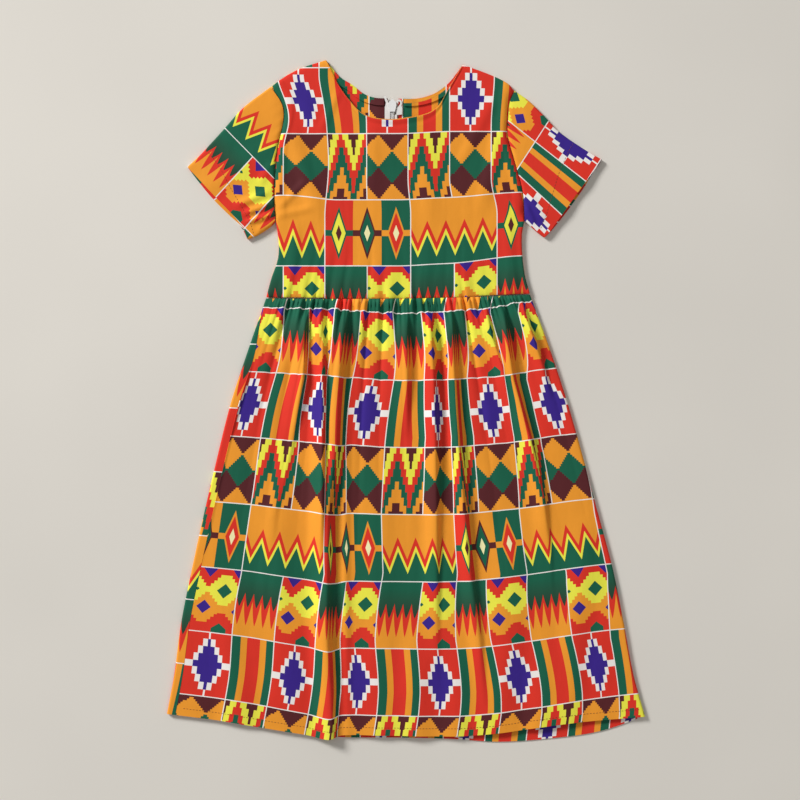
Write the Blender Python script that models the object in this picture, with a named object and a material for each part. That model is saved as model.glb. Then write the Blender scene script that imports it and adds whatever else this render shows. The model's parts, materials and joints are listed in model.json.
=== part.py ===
"""Child's short-sleeved gathered dress with a back zip, laid flat on its back.

Units are metres and +Z is up. The dress lies in the XY plane with its neck
towards +Y, its hem towards -Y and its front facing +Z. Every cut piece of
cloth is a closed wall with a small gap to its neighbour at each seam. The
origin is under the middle of the laid dress, on the surface it rests on.

All sizes below are in millimetres and are turned into metres when a solid is
made.
"""

import math

import bmesh
import bpy
from mathutils import Vector

MM = 0.001

# Cloth
WALL = 1.2
SEAM_GAP = 0.3
LAID_HEIGHT = 4.2
CENTRE_Z = LAID_HEIGHT / 2.0
FOLD_RADIUS = LAID_HEIGHT / 2.0
PANEL_RADIUS = FOLD_RADIUS - SEAM_GAP / 2.0

# Back zip
ZIP_X = -15.0
ZIP_BOTTOM_Y = 132.0
CHAIN_TOP_Y = 317.7
CHAIN_HALF_WIDTH = 2.3
CHAIN_HEIGHT = 1.3
SLOT_HALF_WIDTH = 5.2
TAPE_WALL = 1.0
TAPE_LEFT_REACH = 8.4
TAPE_RIGHT_REACH = 12.0
SLIDER_HALF_WIDTH = 4.4
PLATE_WALL = 0.8
BRIDGE_HALF_WIDTH = 0.8
HINGE_Y = 322.4
HINGE_Z = 1.35
PULL_HALF_WIDTH = 2.5
PULL_LENGTH = 22.0
PULL_WALL = 0.8

# How far the cloth stands up where the pull tab lies under it
ZIP_LIFT = 1.5
FRONT_LIFT = 1.6

# Skirt
SEAM_WRAP_LEFT = 9.5
SEAM_WRAP_RIGHT = 8.0
FACING_WIDTH = 8.0

# Main folds of the front skirt: crest from (x, y) at the top to (x, y) at the
# bottom, half width and height of the fold at its middle, height at the hem.
SKIRT_FOLDS = (
    ((-86.0, 96.0), (-88.0, -376.0), 25.0, 7.5, 7.0),
    ((46.0, 100.0), (58.0, -300.0), 26.0, 7.0, 0.0),
    ((118.0, 90.0), (160.0, -250.0), 20.0, 5.0, 0.0),
    ((-138.0, 90.0), (-172.0, -130.0), 20.0, 4.0, 0.0),
    ((-42.0, 96.0), (-40.0, -340.0), 15.0, 3.0, 0.0),
    ((-4.0, 100.0), (0.0, -60.0), 15.0, 4.0, 0.0),
    ((10.0, -250.0), (12.0, -376.0), 24.0, 3.0, 3.0),
    ((150.0, -240.0), (168.0, -362.0), 24.0, 3.0, 3.0),
)

# Where both sides of an armhole seam have their points, from the underarm up
ARMHOLE_STEPS = (0.12, 0.25, 0.4, 0.54, 0.67, 0.77, 0.86, 0.93)

# Outlines, each a run of (x, y) points
SIDE_LEFT = ((-154, 113), (-148, 135), (-141, 156), (-140, 172), (-143, 197))
SIDE_RIGHT = ((136.5, 117), (131, 137), (128, 160), (127.5, 182), (130, 198))
ARMHOLE_LEFT = (
    (-143, 197), (-145, 221), (-144, 250), (-141, 280), (-134.5, 309), (-136, 326), (-148.5, 345.5),
)
ARMHOLE_RIGHT = (
    (130, 198), (128, 230), (119, 264), (111.5, 292), (112, 312), (113.5, 328), (119, 341),
)
SHOULDER_LEFT = ((-148.5, 345.5), (-132, 357.5), (-114, 366.5), (-88, 375))
SHOULDER_RIGHT = ((62.5, 370), (94.5, 358), (112, 349), (119, 341))
FRONT_NECK = (
    (-88, 375), (-77, 352), (-62, 330.5), (-46, 315), (-21, 309.5), (5, 312), (25, 317), (36, 325),
    (46, 342), (62.5, 370),
)
BACK_NECK_LEFT = ((-88, 375), (-73, 357), (-59, 348), (-46, 338), (-33, 333.5), (-20.2, 333))
BACK_NECK_RIGHT = ((-9.8, 332.5), (7, 332.5), (20, 334.5), (34, 340), (48, 351), (62.5, 370))
FACING_EDGE_LEFT = ((-82, 367.5), (-73, 357), (-59, 348), (-46, 338), (-33, 333.5), (-24, 333))
FACING_EDGE_RIGHT = ((-2.6, 332.3), (7, 332.5), (20, 334.5), (34, 340), (48, 351), (55, 360.5))
WAIST = ((-154, 113), (-70, 112.5), (0, 113), (70, 114.5), (136.5, 117))
SKIRT_LEFT = (
    (-154, 113), (-173, 60), (-193, 0), (-208, -60), (-222, -120), (-235, -180), (-247, -240),
    (-255, -300), (-263, -344),
)
SKIRT_RIGHT = (
    (136.5, 117), (158, 60), (178, 0), (195, -60), (211, -120), (227, -180), (239, -240),
    (250, -300), (263, -347),
)
FRONT_HEM = (
    (-263, -344), (-200, -352), (-154, -360), (-111, -367), (-86, -371.5), (-72, -367.5),
    (-33, -367.5), (57, -368.5), (103, -365), (148, -358.5), (192, -353), (263, -347),
)
BACK_HEM = (
    (-263, -344), (-200, -352), (-154, -360), (-111, -367), (-70, -370), (0, -370.5), (54, -372),
    (103, -375), (153, -372), (213, -364), (263, -347),
)
SLEEVE_TOP_LEFT = ((-148.5, 345.5), (-179, 322.5), (-203, 296), (-227, 270), (-240.5, 257.5))
SLEEVE_UNDER_LEFT = ((-143, 197), (-150, 190.5), (-164, 181.5), (-174, 177.5))
CUFF_LEFT = ((-240.5, 257.5), (-214, 229), (-181, 193.5), (-174, 177.5))
SLEEVE_TOP_RIGHT = ((119, 341), (134, 331), (152, 313.5), (168, 296.5), (193.5, 278.5), (215.5, 265.5))
SLEEVE_UNDER_RIGHT = ((130, 198), (143, 186.5), (152, 179.5))
CUFF_RIGHT = ((215.5, 265.5), (186, 225), (158, 186), (152, 179.5))


# ---------------------------------------------------------------- helpers

def clear_scene():
    """Remove every object that is already in the scene."""
    for thing in list(bpy.data.objects):
        bpy.data.objects.remove(thing, do_unlink=True)


def make_material(name, colour, roughness, metallic=0.0):
    """Make a Principled material of one linear colour."""
    material = bpy.data.materials.new(name)
    material.use_nodes = True
    shader = material.node_tree.nodes["Principled BSDF"]
    shader.inputs["Base Color"].default_value = (*colour, 1.0)
    shader.inputs["Roughness"].default_value = roughness
    shader.inputs["Metallic"].default_value = metallic
    return material


def smooth_step(value):
    """Ease from 0 to 1 as the value goes from 0 to 1."""
    held = min(max(value, 0.0), 1.0)
    return held * held * (3.0 - 2.0 * held)


def curve_through(points):
    """Return a function of 0..1 that follows the points evenly by length."""
    knots = [Vector(point) for point in points]
    lengths = [0.0]
    for start, end in zip(knots, knots[1:]):
        lengths.append(lengths[-1] + (end - start).length)
    slopes = []
    for index in range(len(knots)):
        before = max(index - 1, 0)
        after = min(index + 1, len(knots) - 1)
        slopes.append((knots[after] - knots[before]) / (lengths[after] - lengths[before]))

    def at(fraction):
        distance = min(max(fraction, 0.0), 1.0) * lengths[-1]
        index = 0
        while index < len(knots) - 2 and distance > lengths[index + 1]:
            index += 1
        span = lengths[index + 1] - lengths[index]
        s = (distance - lengths[index]) / span
        start = knots[index] * (2 * s ** 3 - 3 * s ** 2 + 1)
        end = knots[index + 1] * (3 * s ** 2 - 2 * s ** 3)
        leave = slopes[index] * span * (s ** 3 - 2 * s ** 2 + s)
        arrive = slopes[index + 1] * span * (s ** 3 - s ** 2)
        return start + end + leave + arrive

    return at


def joined_curve(parts, breaks):
    """Join curves end to end, each one over its own stretch of 0..1."""
    curves = [curve_through(points) for points in parts]

    def at(fraction):
        index = 0
        while index < len(curves) - 1 and fraction > breaks[index + 1]:
            index += 1
        low = breaks[index]
        high = breaks[index + 1]
        return curves[index]((fraction - low) / (high - low))

    return at


def blended_patch(bottom, top, left, right):
    """Return a function that fills four edge curves with a smooth grid."""

    def at(u, v):
        edges = bottom(u) * (1 - v) + top(u) * v + left(v) * (1 - u) + right(v) * u
        low = bottom(0) * (1 - u) + bottom(1) * u
        high = top(0) * (1 - u) + top(1) * u
        return edges - low * (1 - v) - high * v

    return at


def even_steps(start, end, count):
    """Return count + 1 evenly spaced numbers from start to end."""
    return [start + (end - start) * index / count for index in range(count + 1)]


def zip_lift(x, y, lift, full_reach, fade_reach, low_y, high_y):
    """Height added to the cloth where it passes over the zip's pull tab."""
    across = 1.0 - smooth_step((abs(x - ZIP_X) - full_reach) / fade_reach)
    along = smooth_step((y - low_y) / (high_y - low_y))
    return lift * across * along


def back_lift(x, y):
    """Lift of the back panels, the zip tapes and the neck facings."""
    return zip_lift(x, y, ZIP_LIFT, 13.0, 16.0, 262.0, 298.0)


def front_lift(x, y):
    """Lift of the front panel, which lies on the zip."""
    return zip_lift(x, y, FRONT_LIFT, 16.0, 24.0, 250.0, 288.0)


def add_object(name, mesh_data, material):
    """Turn a finished bmesh into a named, smooth-shaded object in metres."""
    bmesh.ops.scale(mesh_data, vec=(MM, MM, MM), verts=mesh_data.verts)
    bmesh.ops.recalc_face_normals(mesh_data, faces=mesh_data.faces)
    mesh = bpy.data.meshes.new(name)
    mesh_data.to_mesh(mesh)
    mesh_data.free()
    mesh.shade_smooth()
    mesh.set_sharp_from_angle(angle=math.radians(40))
    mesh.materials.append(material)
    thing = bpy.data.objects.new(name, mesh)
    bpy.context.scene.collection.objects.link(thing)
    return thing


def wall_solid(name, outer, inner, material, closed=False):
    """Close the wall between two matching grids of points.

    The grids are lists of rows. A closed wall runs round a tube, so the last
    column of each row joins the first.
    """
    shape = bmesh.new()
    outside = [[shape.verts.new(point) for point in row] for row in outer]
    inside = [[shape.verts.new(point) for point in row] for row in inner]
    rows = len(outer)
    columns = len(outer[0])
    spans = columns if closed else columns - 1

    def add_strip(a, b, c, d):
        shape.faces.new((a, b, c))
        shape.faces.new((a, c, d))

    for row in range(rows - 1):
        for column in range(spans):
            after = (column + 1) % columns
            a, b = outside[row][column], outside[row][after]
            c, d = outside[row + 1][after], outside[row + 1][column]
            add_strip(a, b, c, d)
            a, b = inside[row][column], inside[row][after]
            c, d = inside[row + 1][after], inside[row + 1][column]
            add_strip(a, d, c, b)
    for column in range(spans):
        after = (column + 1) % columns
        add_strip(outside[0][after], outside[0][column], inside[0][column], inside[0][after])
        add_strip(outside[-1][column], outside[-1][after], inside[-1][after], inside[-1][column])
    if not closed:
        for row in range(rows - 1):
            add_strip(outside[row][0], outside[row + 1][0], inside[row + 1][0], inside[row][0])
            add_strip(outside[row + 1][-1], outside[row][-1], inside[row][-1], inside[row + 1][-1])
    return add_object(name, shape, material)


def round_steps():
    """Return (outer offset, inner offset, rise) across a quarter-round edge."""
    steps = []
    inner_radius = PANEL_RADIUS - WALL
    for degrees in (0, 30, 60, 90):
        angle = math.radians(degrees)
        run = 1.0 - math.cos(angle)
        steps.append((PANEL_RADIUS * run, WALL + inner_radius * run, math.sin(angle)))
    return steps


# ---------------------------------------------------------------- bodice

class PanelEdges:
    """Edge curves of one bodice panel, and which of them turn under."""

    def __init__(self, bottom, top, left, right, fold_left, fold_right, fold_top):
        self.patch = blended_patch(bottom, top, left, right)
        self.bottom = bottom
        self.top = top
        self.left = left
        self.right = right
        self.fold_left = fold_left
        self.fold_right = fold_right
        self.fold_top = fold_top

    def width(self, v):
        """Distance from the left edge to the right edge."""
        return (self.right(v) - self.left(v)).length

    def height(self, u):
        """Distance from the bottom edge to the top edge."""
        return (self.top(u) - self.bottom(u)).length


def panel_columns(breaks, counts):
    """Columns as (kind, value): turned edges and plain fractions."""
    columns = [("left", step) for step in range(4)]
    fractions = []
    for start, end, count in zip(breaks, breaks[1:], counts):
        fractions += even_steps(start, end, count)[1:]
    columns += [("plain", fraction) for fraction in fractions[:-1]]
    columns += [("right", step) for step in range(3, -1, -1)]
    return columns


def panel_rows(breaks, counts):
    """Rows as (kind, value): plain fractions and the turned top edge."""
    fractions = [breaks[0]]
    for start, end, count in zip(breaks, breaks[1:], counts):
        fractions += even_steps(start, end, count)[1:]
    rows = [("plain", fraction) for fraction in fractions]
    rows += [("top", step) for step in range(3, -1, -1)]
    return rows


def bodice_panel(name, edges, columns, rows, upper, lift, material):
    """Build one bodice panel as a wall on the upper or the lower layer."""
    steps = round_steps()
    grids = ([], [])
    for row_kind, row_value in rows:
        for grid in grids:
            grid.append([])
        for column_kind, column_value in columns:
            v_guess = 1.0 if row_kind == "top" else row_value
            u_guess = {"left": 0.0, "right": 1.0}.get(column_kind, column_value)
            side_fold = 0.0
            if column_kind == "left":
                side_fold = edges.fold_left(v_guess)
            if column_kind == "right":
                side_fold = edges.fold_right(v_guess)
            top_fold = edges.fold_top(u_guess) if row_kind == "top" else 0.0
            for layer, grid in enumerate(grids):
                radius = PANEL_RADIUS if layer == 0 else PANEL_RADIUS - WALL
                u = u_guess
                v = v_guess
                rise = 1.0
                if column_kind != "plain":
                    outer_run, inner_run, height = steps[column_value]
                    run = outer_run if layer == 0 else outer_run + (inner_run - outer_run) * side_fold
                    share = run / edges.width(v)
                    u = share if column_kind == "left" else 1.0 - share
                    rise = min(rise, 1.0 + (height - 1.0) * side_fold)
                if row_kind == "top":
                    outer_run, inner_run, height = steps[row_value]
                    run = outer_run if layer == 0 else outer_run + (inner_run - outer_run) * top_fold
                    v = 1.0 - run / edges.height(u_guess)
                    rise = min(rise, 1.0 + (height - 1.0) * top_fold)
                place = edges.patch(u, v)
                depth = SEAM_GAP / 2.0 + radius * rise
                z = CENTRE_Z + depth if upper else CENTRE_Z - depth
                grid[-1].append((place.x, place.y, z + lift(place.x, place.y)))
    return wall_solid(name, grids[0], grids[1], material)


def underarm_share(side, armhole):
    """Fraction of the side-and-armhole edge that lies below the underarm."""
    def run(points):
        return sum((Vector(b) - Vector(a)).length for a, b in zip(points, points[1:]))
    return run(side) / (run(side) + run(armhole))


def fold_below(share):
    """Edge turns under up to the underarm, then opens over a short way."""
    def weight(v):
        return 1.0 - smooth_step((v - share) / 0.02)
    return weight


def fold_outside(low, high):
    """Edge turns under beyond the stretch from low to high."""
    def weight(u):
        return 0.0 if low < u < high else 1.0
    return weight


def open_edge(_):
    """Edge that doesn't turn under."""
    return 0.0


def build_bodice(cloth):
    """Front panel and the two back panels."""
    share_left = underarm_share(SIDE_LEFT, ARMHOLE_LEFT)
    share_right = underarm_share(SIDE_RIGHT, ARMHOLE_RIGHT)
    share = (share_left + share_right) / 2.0
    left = joined_curve((SIDE_LEFT, ARMHOLE_LEFT), (0.0, share, 1.0))
    right = joined_curve((SIDE_RIGHT, ARMHOLE_RIGHT), (0.0, share, 1.0))
    armhole_rows = [share + (1.0 - share) * step for step in ARMHOLE_STEPS]
    rows = panel_rows([0.0, share, share + 0.02] + armhole_rows, [3] + [1] * 9)

    neck_low = 0.22
    neck_high = 0.8
    front = PanelEdges(
        curve_through(WAIST),
        joined_curve((SHOULDER_LEFT, FRONT_NECK, SHOULDER_RIGHT), (0.0, neck_low, neck_high, 1.0)),
        left,
        right,
        fold_below(share),
        fold_below(share),
        fold_outside(neck_low + 0.005, neck_high - 0.005),
    )
    columns = panel_columns((0.0, neck_low, neck_high, 1.0), (3, 14, 3))
    bodice_panel("bodice_front", front, columns, rows, True, front_lift, cloth)

    slot_left = ZIP_X - SLOT_HALF_WIDTH
    slot_right = ZIP_X + SLOT_HALF_WIDTH
    close_left = ZIP_X - SEAM_GAP / 2.0
    close_right = ZIP_X + SEAM_GAP / 2.0
    waist_left = ((-154, 113), (-70, 112.5), (close_left, 113))
    waist_right = ((close_right, 113), (0, 113), (70, 114.5), (136.5, 117))
    centre_left = ((close_left, 113), (close_left, 124), (slot_left, 135), (slot_left, 230), (slot_left, 333))
    centre_right = (
        (close_right, 113), (close_right, 124), (slot_right, 135), (slot_right, 230), (slot_right, 332.5),
    )
    neck_share = 0.45
    back_left = PanelEdges(
        curve_through(waist_left),
        joined_curve((SHOULDER_LEFT, BACK_NECK_LEFT), (0.0, neck_share, 1.0)),
        left,
        curve_through(centre_left),
        fold_below(share),
        open_edge,
        fold_outside(neck_share + 0.005, 2.0),
    )
    columns = panel_columns((0.0, neck_share, 1.0), (3, 7))
    bodice_panel("bodice_back_left", back_left, columns, rows, False, back_lift, cloth)
    back_right = PanelEdges(
        curve_through(waist_right),
        joined_curve((BACK_NECK_RIGHT, SHOULDER_RIGHT), (0.0, 1.0 - neck_share, 1.0)),
        curve_through(centre_right),
        right,
        open_edge,
        fold_below(share),
        fold_outside(-1.0, 1.0 - neck_share - 0.005),
    )
    columns = panel_columns((0.0, 1.0 - neck_share, 1.0), (7, 3))
    bodice_panel("bodice_back_right", back_right, columns, rows, False, back_lift, cloth)


# ---------------------------------------------------------------- sleeves

def build_sleeve(name, armhole, cuff, top, under, outward, back_reach, cloth):
    """Build one sleeve as a flattened tube, open at the armhole and the cuff.

    outward is -1 for the left sleeve and +1 for the right one. back_reach is
    how far the under layer passes the upper one at the middle of the cuff.
    """
    gap = Vector((outward * SEAM_GAP * 1.6, 0.0))
    armhole_down = curve_through([Vector(point) + gap for point in reversed(armhole)])
    cuff_down = curve_through(cuff)
    top_out = curve_through([Vector(top[0]) + gap] + [Vector(point) for point in top[1:]])
    under_out = curve_through([Vector(under[0]) + gap] + [Vector(point) for point in under[1:]])
    patch = blended_patch(top_out, under_out, armhole_down, cuff_down)
    cuff_run = Vector(cuff[-1]) - Vector(cuff[0])
    reach_way = Vector((cuff_run.y, -cuff_run.x)).normalized()
    if reach_way.x * outward < 0.0:
        reach_way = -reach_way

    angles = (30, 60, 90)
    stations = [("top", 0, 1.0)]
    stations += [("top", angle, 1.0) for angle in angles]
    stations += [("plain", 1.0 - step, 1.0) for step in reversed(ARMHOLE_STEPS)]
    stations += [("under", angle, 1.0) for angle in reversed(angles)]
    stations += [("under", 0, 1.0)]
    stations += [("under", angle, -1.0) for angle in angles]
    stations += [("plain", 1.0 - step, -1.0) for step in ARMHOLE_STEPS]
    stations += [("top", angle, -1.0) for angle in reversed(angles)]
    outer = []
    inner = []
    for u in even_steps(0.0, 1.0, 6):
        width = (under_out(u) - top_out(u)).length
        for grid, radius, start in ((outer, FOLD_RADIUS, 0.0), (inner, FOLD_RADIUS - WALL, WALL)):
            ring = []
            for kind, value, side in stations:
                v = value
                rise = 1.0
                if kind != "plain":
                    angle = math.radians(value)
                    rise = math.sin(angle)
                    run = start + radius * (1.0 - math.cos(angle))
                    v = run / width if kind == "top" else 1.0 - run / width
                place = patch(u, v)
                if side < 0.0:
                    place = place + reach_way * back_reach * math.sin(math.pi * v) * u
                ring.append((place.x, place.y, CENTRE_Z + side * radius * rise))
            grid.append(ring)
    return wall_solid(name, outer, inner, cloth, closed=True)


# ---------------------------------------------------------------- skirt

def fold_height(x, y):
    """Height of the front skirt's main folds above the laid cloth."""
    total = 0.0
    for (top_x, top_y), (low_x, low_y), half_width, middle, at_hem in SKIRT_FOLDS:
        along = (top_y - y) / (top_y - low_y)
        if along <= 0.0:
            continue
        crest = top_x + (low_x - top_x) * along
        across = abs(x - crest) / half_width
        if across >= 1.0:
            continue
        grown = smooth_step(along / 0.25)
        kept = at_hem / middle + (1.0 - at_hem / middle) * (1.0 - smooth_step((along - 0.55) / 0.45))
        total += middle * grown * kept * math.cos(across * math.pi / 2.0) ** 2
    return total


class SkirtRing:
    """One level of the flattened skirt tube, from the waist to the hem."""

    def __init__(self, along):
        self.along = along
        waist = curve_through(WAIST)
        self.left = curve_through(SKIRT_LEFT)(along).x
        self.right = curve_through(SKIRT_RIGHT)(along).x
        self.waist_y = lambda share: waist(share).y - SEAM_GAP
        self.front_hem = curve_through(FRONT_HEM)
        self.back_hem = curve_through(BACK_HEM)

    def row_y(self, x, front):
        """Height up the page of this level at x, on the front or the back."""
        share = min(max((x - self.left) / (self.right - self.left), 0.0), 1.0)
        hem = self.front_hem if front else self.back_hem
        top_y = self.waist_y(share)
        return top_y + (hem(share).y - top_y) * self.along

    def place(self, arc, from_left, front, layer):
        """Point at an arc distance from the left or the right fold.

        A positive arc is on the upper wall and a negative one on the lower.
        """
        radius = FOLD_RADIUS - (WALL if layer else 0.0)
        start = WALL if layer else 0.0
        quarter = FOLD_RADIUS * math.pi / 2.0
        angle = min(abs(arc) / FOLD_RADIUS, math.pi / 2.0)
        beyond = max(abs(arc) - quarter, 0.0)
        run = start + radius * (1.0 - math.cos(angle)) + beyond
        x = self.left + run if from_left else self.right - run
        y = self.row_y(x, front)
        side = 1.0 if arc >= 0.0 else -1.0
        z = CENTRE_Z + side * radius * math.sin(angle)
        if side > 0.0:
            inset = min(x - self.left, self.right - x)
            z += fold_height(x, y) * smooth_step((inset - 4.0) / 14.0)
        return (x, y, z)

    def seam_arc(self, wrap):
        """Arc distance from the fold to a side seam that lies wrap beyond it."""
        grown = wrap * smooth_step(self.along / 0.16)
        return grown + (FOLD_RADIUS * math.pi / 2.0 - FOLD_RADIUS) * min(grown / FOLD_RADIUS, 1.0)


def build_skirt(cloth):
    """Front and back skirt: the left seam lies on top, the right one below."""
    quarter = FOLD_RADIUS * math.pi / 2.0
    levels = (0.0, 0.03, 0.07, 0.12, 0.18, 0.26, 0.35, 0.45, 0.55, 0.65, 0.75, 0.85, 0.93, 1.0)
    front = ([], [])
    back = ([], [])
    for along in levels:
        ring = SkirtRing(along)
        seam_left = ring.seam_arc(SEAM_WRAP_LEFT)
        seam_right = ring.seam_arc(SEAM_WRAP_RIGHT)
        top_run = ring.right - ring.left - 2.0 * FOLD_RADIUS + quarter
        front_start = seam_left + SEAM_GAP / 2.0
        back_start = seam_left - SEAM_GAP / 2.0
        front_end = -seam_right + SEAM_GAP / 2.0
        back_end = -seam_right - SEAM_GAP / 2.0
        turn = -max(seam_right, quarter) - 2.0
        for layer in (0, 1):
            row = [ring.place(arc, True, True, layer) for arc in even_steps(front_start, top_run, 32)]
            row += [ring.place(arc, False, True, layer) for arc in even_steps(quarter, front_end, 6)[1:]]
            front[layer].append(row)
            row = [ring.place(arc, True, False, layer) for arc in even_steps(back_start, -quarter, 7)]
            row += [ring.place(arc, False, False, layer) for arc in even_steps(-top_run, turn, 12)[1:]]
            row += [ring.place(arc, False, False, layer) for arc in even_steps(turn, back_end, 2)[1:]]
            back[layer].append(row)
    wall_solid("skirt_front", front[0], front[1], cloth)
    wall_solid("skirt_back", back[0], back[1], cloth)


# ---------------------------------------------------------------- neck and zip

def build_facing(name, neck, cloth):
    """Strip of cloth on the inside of the back neck, along its edge."""
    edge = curve_through(neck)
    rows = ([], [])
    for share in even_steps(0.0, 1.0, 10):
        ahead = edge(min(share + 0.01, 1.0))
        behind = edge(max(share - 0.01, 0.0))
        run = (ahead - behind).normalized()
        inward = Vector((run.y, -run.x))
        if inward.y > 0.0:
            inward = -inward
        for layer in (0, 1):
            z = WALL + SEAM_GAP + (0.0 if layer else TAPE_WALL)
            row = []
            for reach in (0.6, FACING_WIDTH / 2.0, FACING_WIDTH):
                place = edge(share) + inward * reach
                row.append((place.x, place.y, z + back_lift(place.x, place.y)))
            rows[layer].append(row)
    wall_solid(name, rows[0], rows[1], cloth)


def build_tape(name, inner_reach, outer_reach, side, ends, material):
    """Zip tape: a straight strip that ends in a turned-over tip."""
    rows = ([], [])
    levels = [(y, inner_reach, outer_reach) for y in (ZIP_BOTTOM_Y, 200.0, 262.0)]
    levels += [(y, inner_reach, outer_reach) for y in (271.0, 280.0, 289.0, 298.0, 312.0)]
    levels += list(ends)
    for y, near, far in levels:
        for layer in (0, 1):
            z = WALL + SEAM_GAP + (0.0 if layer else TAPE_WALL)
            row = []
            for reach in (near, (near + far) / 2.0, far):
                x = ZIP_X + side * reach
                row.append((x, y, z + back_lift(x, y)))
            rows[layer].append(row)
    wall_solid(name, rows[0], rows[1], material)


def build_chain(material):
    """Closed zip chain as one bar that rises to the slider."""
    rows = ([], [])
    for y in (ZIP_BOTTOM_Y, 200.0, 262.0, 271.0, 280.0, 289.0, 298.0, CHAIN_TOP_Y):
        for layer in (0, 1):
            z = WALL + 0.1 + (0.0 if layer else CHAIN_HEIGHT)
            row = []
            for x in (ZIP_X - CHAIN_HALF_WIDTH, ZIP_X + CHAIN_HALF_WIDTH):
                row.append((x, y, z + back_lift(x, y)))
            rows[layer].append(row)
    wall_solid("zip_chain", rows[0], rows[1], material)


def prism(name, outline, low_z, high_z, material):
    """Straight-sided solid over an (x, y) outline."""
    shape = bmesh.new()
    base = [shape.verts.new((x, y, low_z)) for x, y in outline]
    face = shape.faces.new(base)
    grown = bmesh.ops.extrude_face_region(shape, geom=[face])
    raised = [item for item in grown["geom"] if isinstance(item, bmesh.types.BMVert)]
    bmesh.ops.translate(shape, verts=raised, vec=(0.0, 0.0, high_z - low_z))
    return add_object(name, shape, material)


def box_outline(low_x, high_x, low_y, high_y):
    """Corners of a rectangle, anticlockwise."""
    return ((low_x, low_y), (high_x, low_y), (high_x, high_y), (low_x, high_y))


def mirrored_outline(half):
    """Full outline about the zip's centre line from its right-hand half."""
    right = [(ZIP_X + x, y) for x, y in half]
    left = [(ZIP_X - x, y) for x, y in reversed(half) if x > 0.0]
    return right + left


def apply_boolean(target, cutter, operation):
    """Join or cut with another solid, then hide that solid as a helper."""
    step = target.modifiers.new(operation.lower() + "_" + cutter.name, "BOOLEAN")
    step.operation = operation
    step.object = cutter
    cutter.hide_render = True
    cutter.display_type = "WIRE"


def build_slider(metal):
    """Slider body: two plates, the core between them and the pull's bridge."""
    plate = mirrored_outline((
        (0.0, 318.0), (2.8, 318.0), (3.6, 321.0), (SLIDER_HALF_WIDTH, 325.0), (4.0, 328.6), (1.4, 330.6), (0.0, 332.4),
    ))
    lower_z = 1.9
    upper_z = 4.3
    slider = prism("zip_slider", plate, upper_z, upper_z + PLATE_WALL, metal)
    under = prism("slider_under_plate", plate, lower_z, lower_z + PLATE_WALL, metal)
    core_half = CHAIN_HALF_WIDTH - 0.1
    core = box_outline(ZIP_X - core_half, ZIP_X + core_half, 319.0, 330.0)
    middle = prism("slider_core", core, lower_z + 0.3, upper_z + 0.3, metal)
    post_low = box_outline(ZIP_X - BRIDGE_HALF_WIDTH, ZIP_X + BRIDGE_HALF_WIDTH, 320.5, 321.7)
    post_high = box_outline(ZIP_X - BRIDGE_HALF_WIDTH, ZIP_X + BRIDGE_HALF_WIDTH, 325.5, 326.7)
    bar = box_outline(ZIP_X - BRIDGE_HALF_WIDTH + 0.02, ZIP_X + BRIDGE_HALF_WIDTH - 0.02, 320.52, 326.68)
    low = prism("slider_bridge_low", post_low, 0.4, lower_z + 0.3, metal)
    high = prism("slider_bridge_high", post_high, 0.4, lower_z + 0.3, metal)
    across = prism("slider_bridge_bar", bar, 0.2, 0.8, metal)
    for piece in (middle, under, low, high, across):
        apply_boolean(slider, piece, "UNION")


def build_pull(metal):
    """Pull tab under the back, on a crossbar through the slider's bridge."""
    tip_y = HINGE_Y - PULL_LENGTH
    outline = mirrored_outline((
        (0.0, tip_y), (1.5, tip_y + 0.5), (PULL_HALF_WIDTH, tip_y + 2.4), (PULL_HALF_WIDTH, tip_y + 8.0),
        (1.9, HINGE_Y - 7.0), (2.5, HINGE_Y - 3.6), (2.5, HINGE_Y - 0.2), (2.2, HINGE_Y + 0.3), (0.0, HINGE_Y + 0.3),
    ))
    half = PULL_WALL / 2.0
    pull = prism("zip_pull", outline, HINGE_Z - half, HINGE_Z + half, metal)
    window = box_outline(ZIP_X - 1.6, ZIP_X + 1.6, HINGE_Y - 3.0, HINGE_Y - 0.3)
    eye = prism("pull_window", window, HINGE_Z - 2.0, HINGE_Z + 2.0, metal)
    apply_boolean(pull, eye, "DIFFERENCE")
    trim = box_outline(ZIP_X - 1.6, ZIP_X + 1.6, HINGE_Y - 0.35, HINGE_Y + 0.5)
    above = prism("pull_bar_above", trim, HINGE_Z + 0.3, HINGE_Z + 1.0, metal)
    below = prism("pull_bar_below", trim, HINGE_Z - 1.0, HINGE_Z - 0.3, metal)
    apply_boolean(pull, above, "DIFFERENCE")
    apply_boolean(pull, below, "DIFFERENCE")
    hinge = Vector((ZIP_X * MM, HINGE_Y * MM, HINGE_Z * MM))
    for vertex in pull.data.vertices:
        vertex.co -= hinge
    pull.location = hinge


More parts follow.
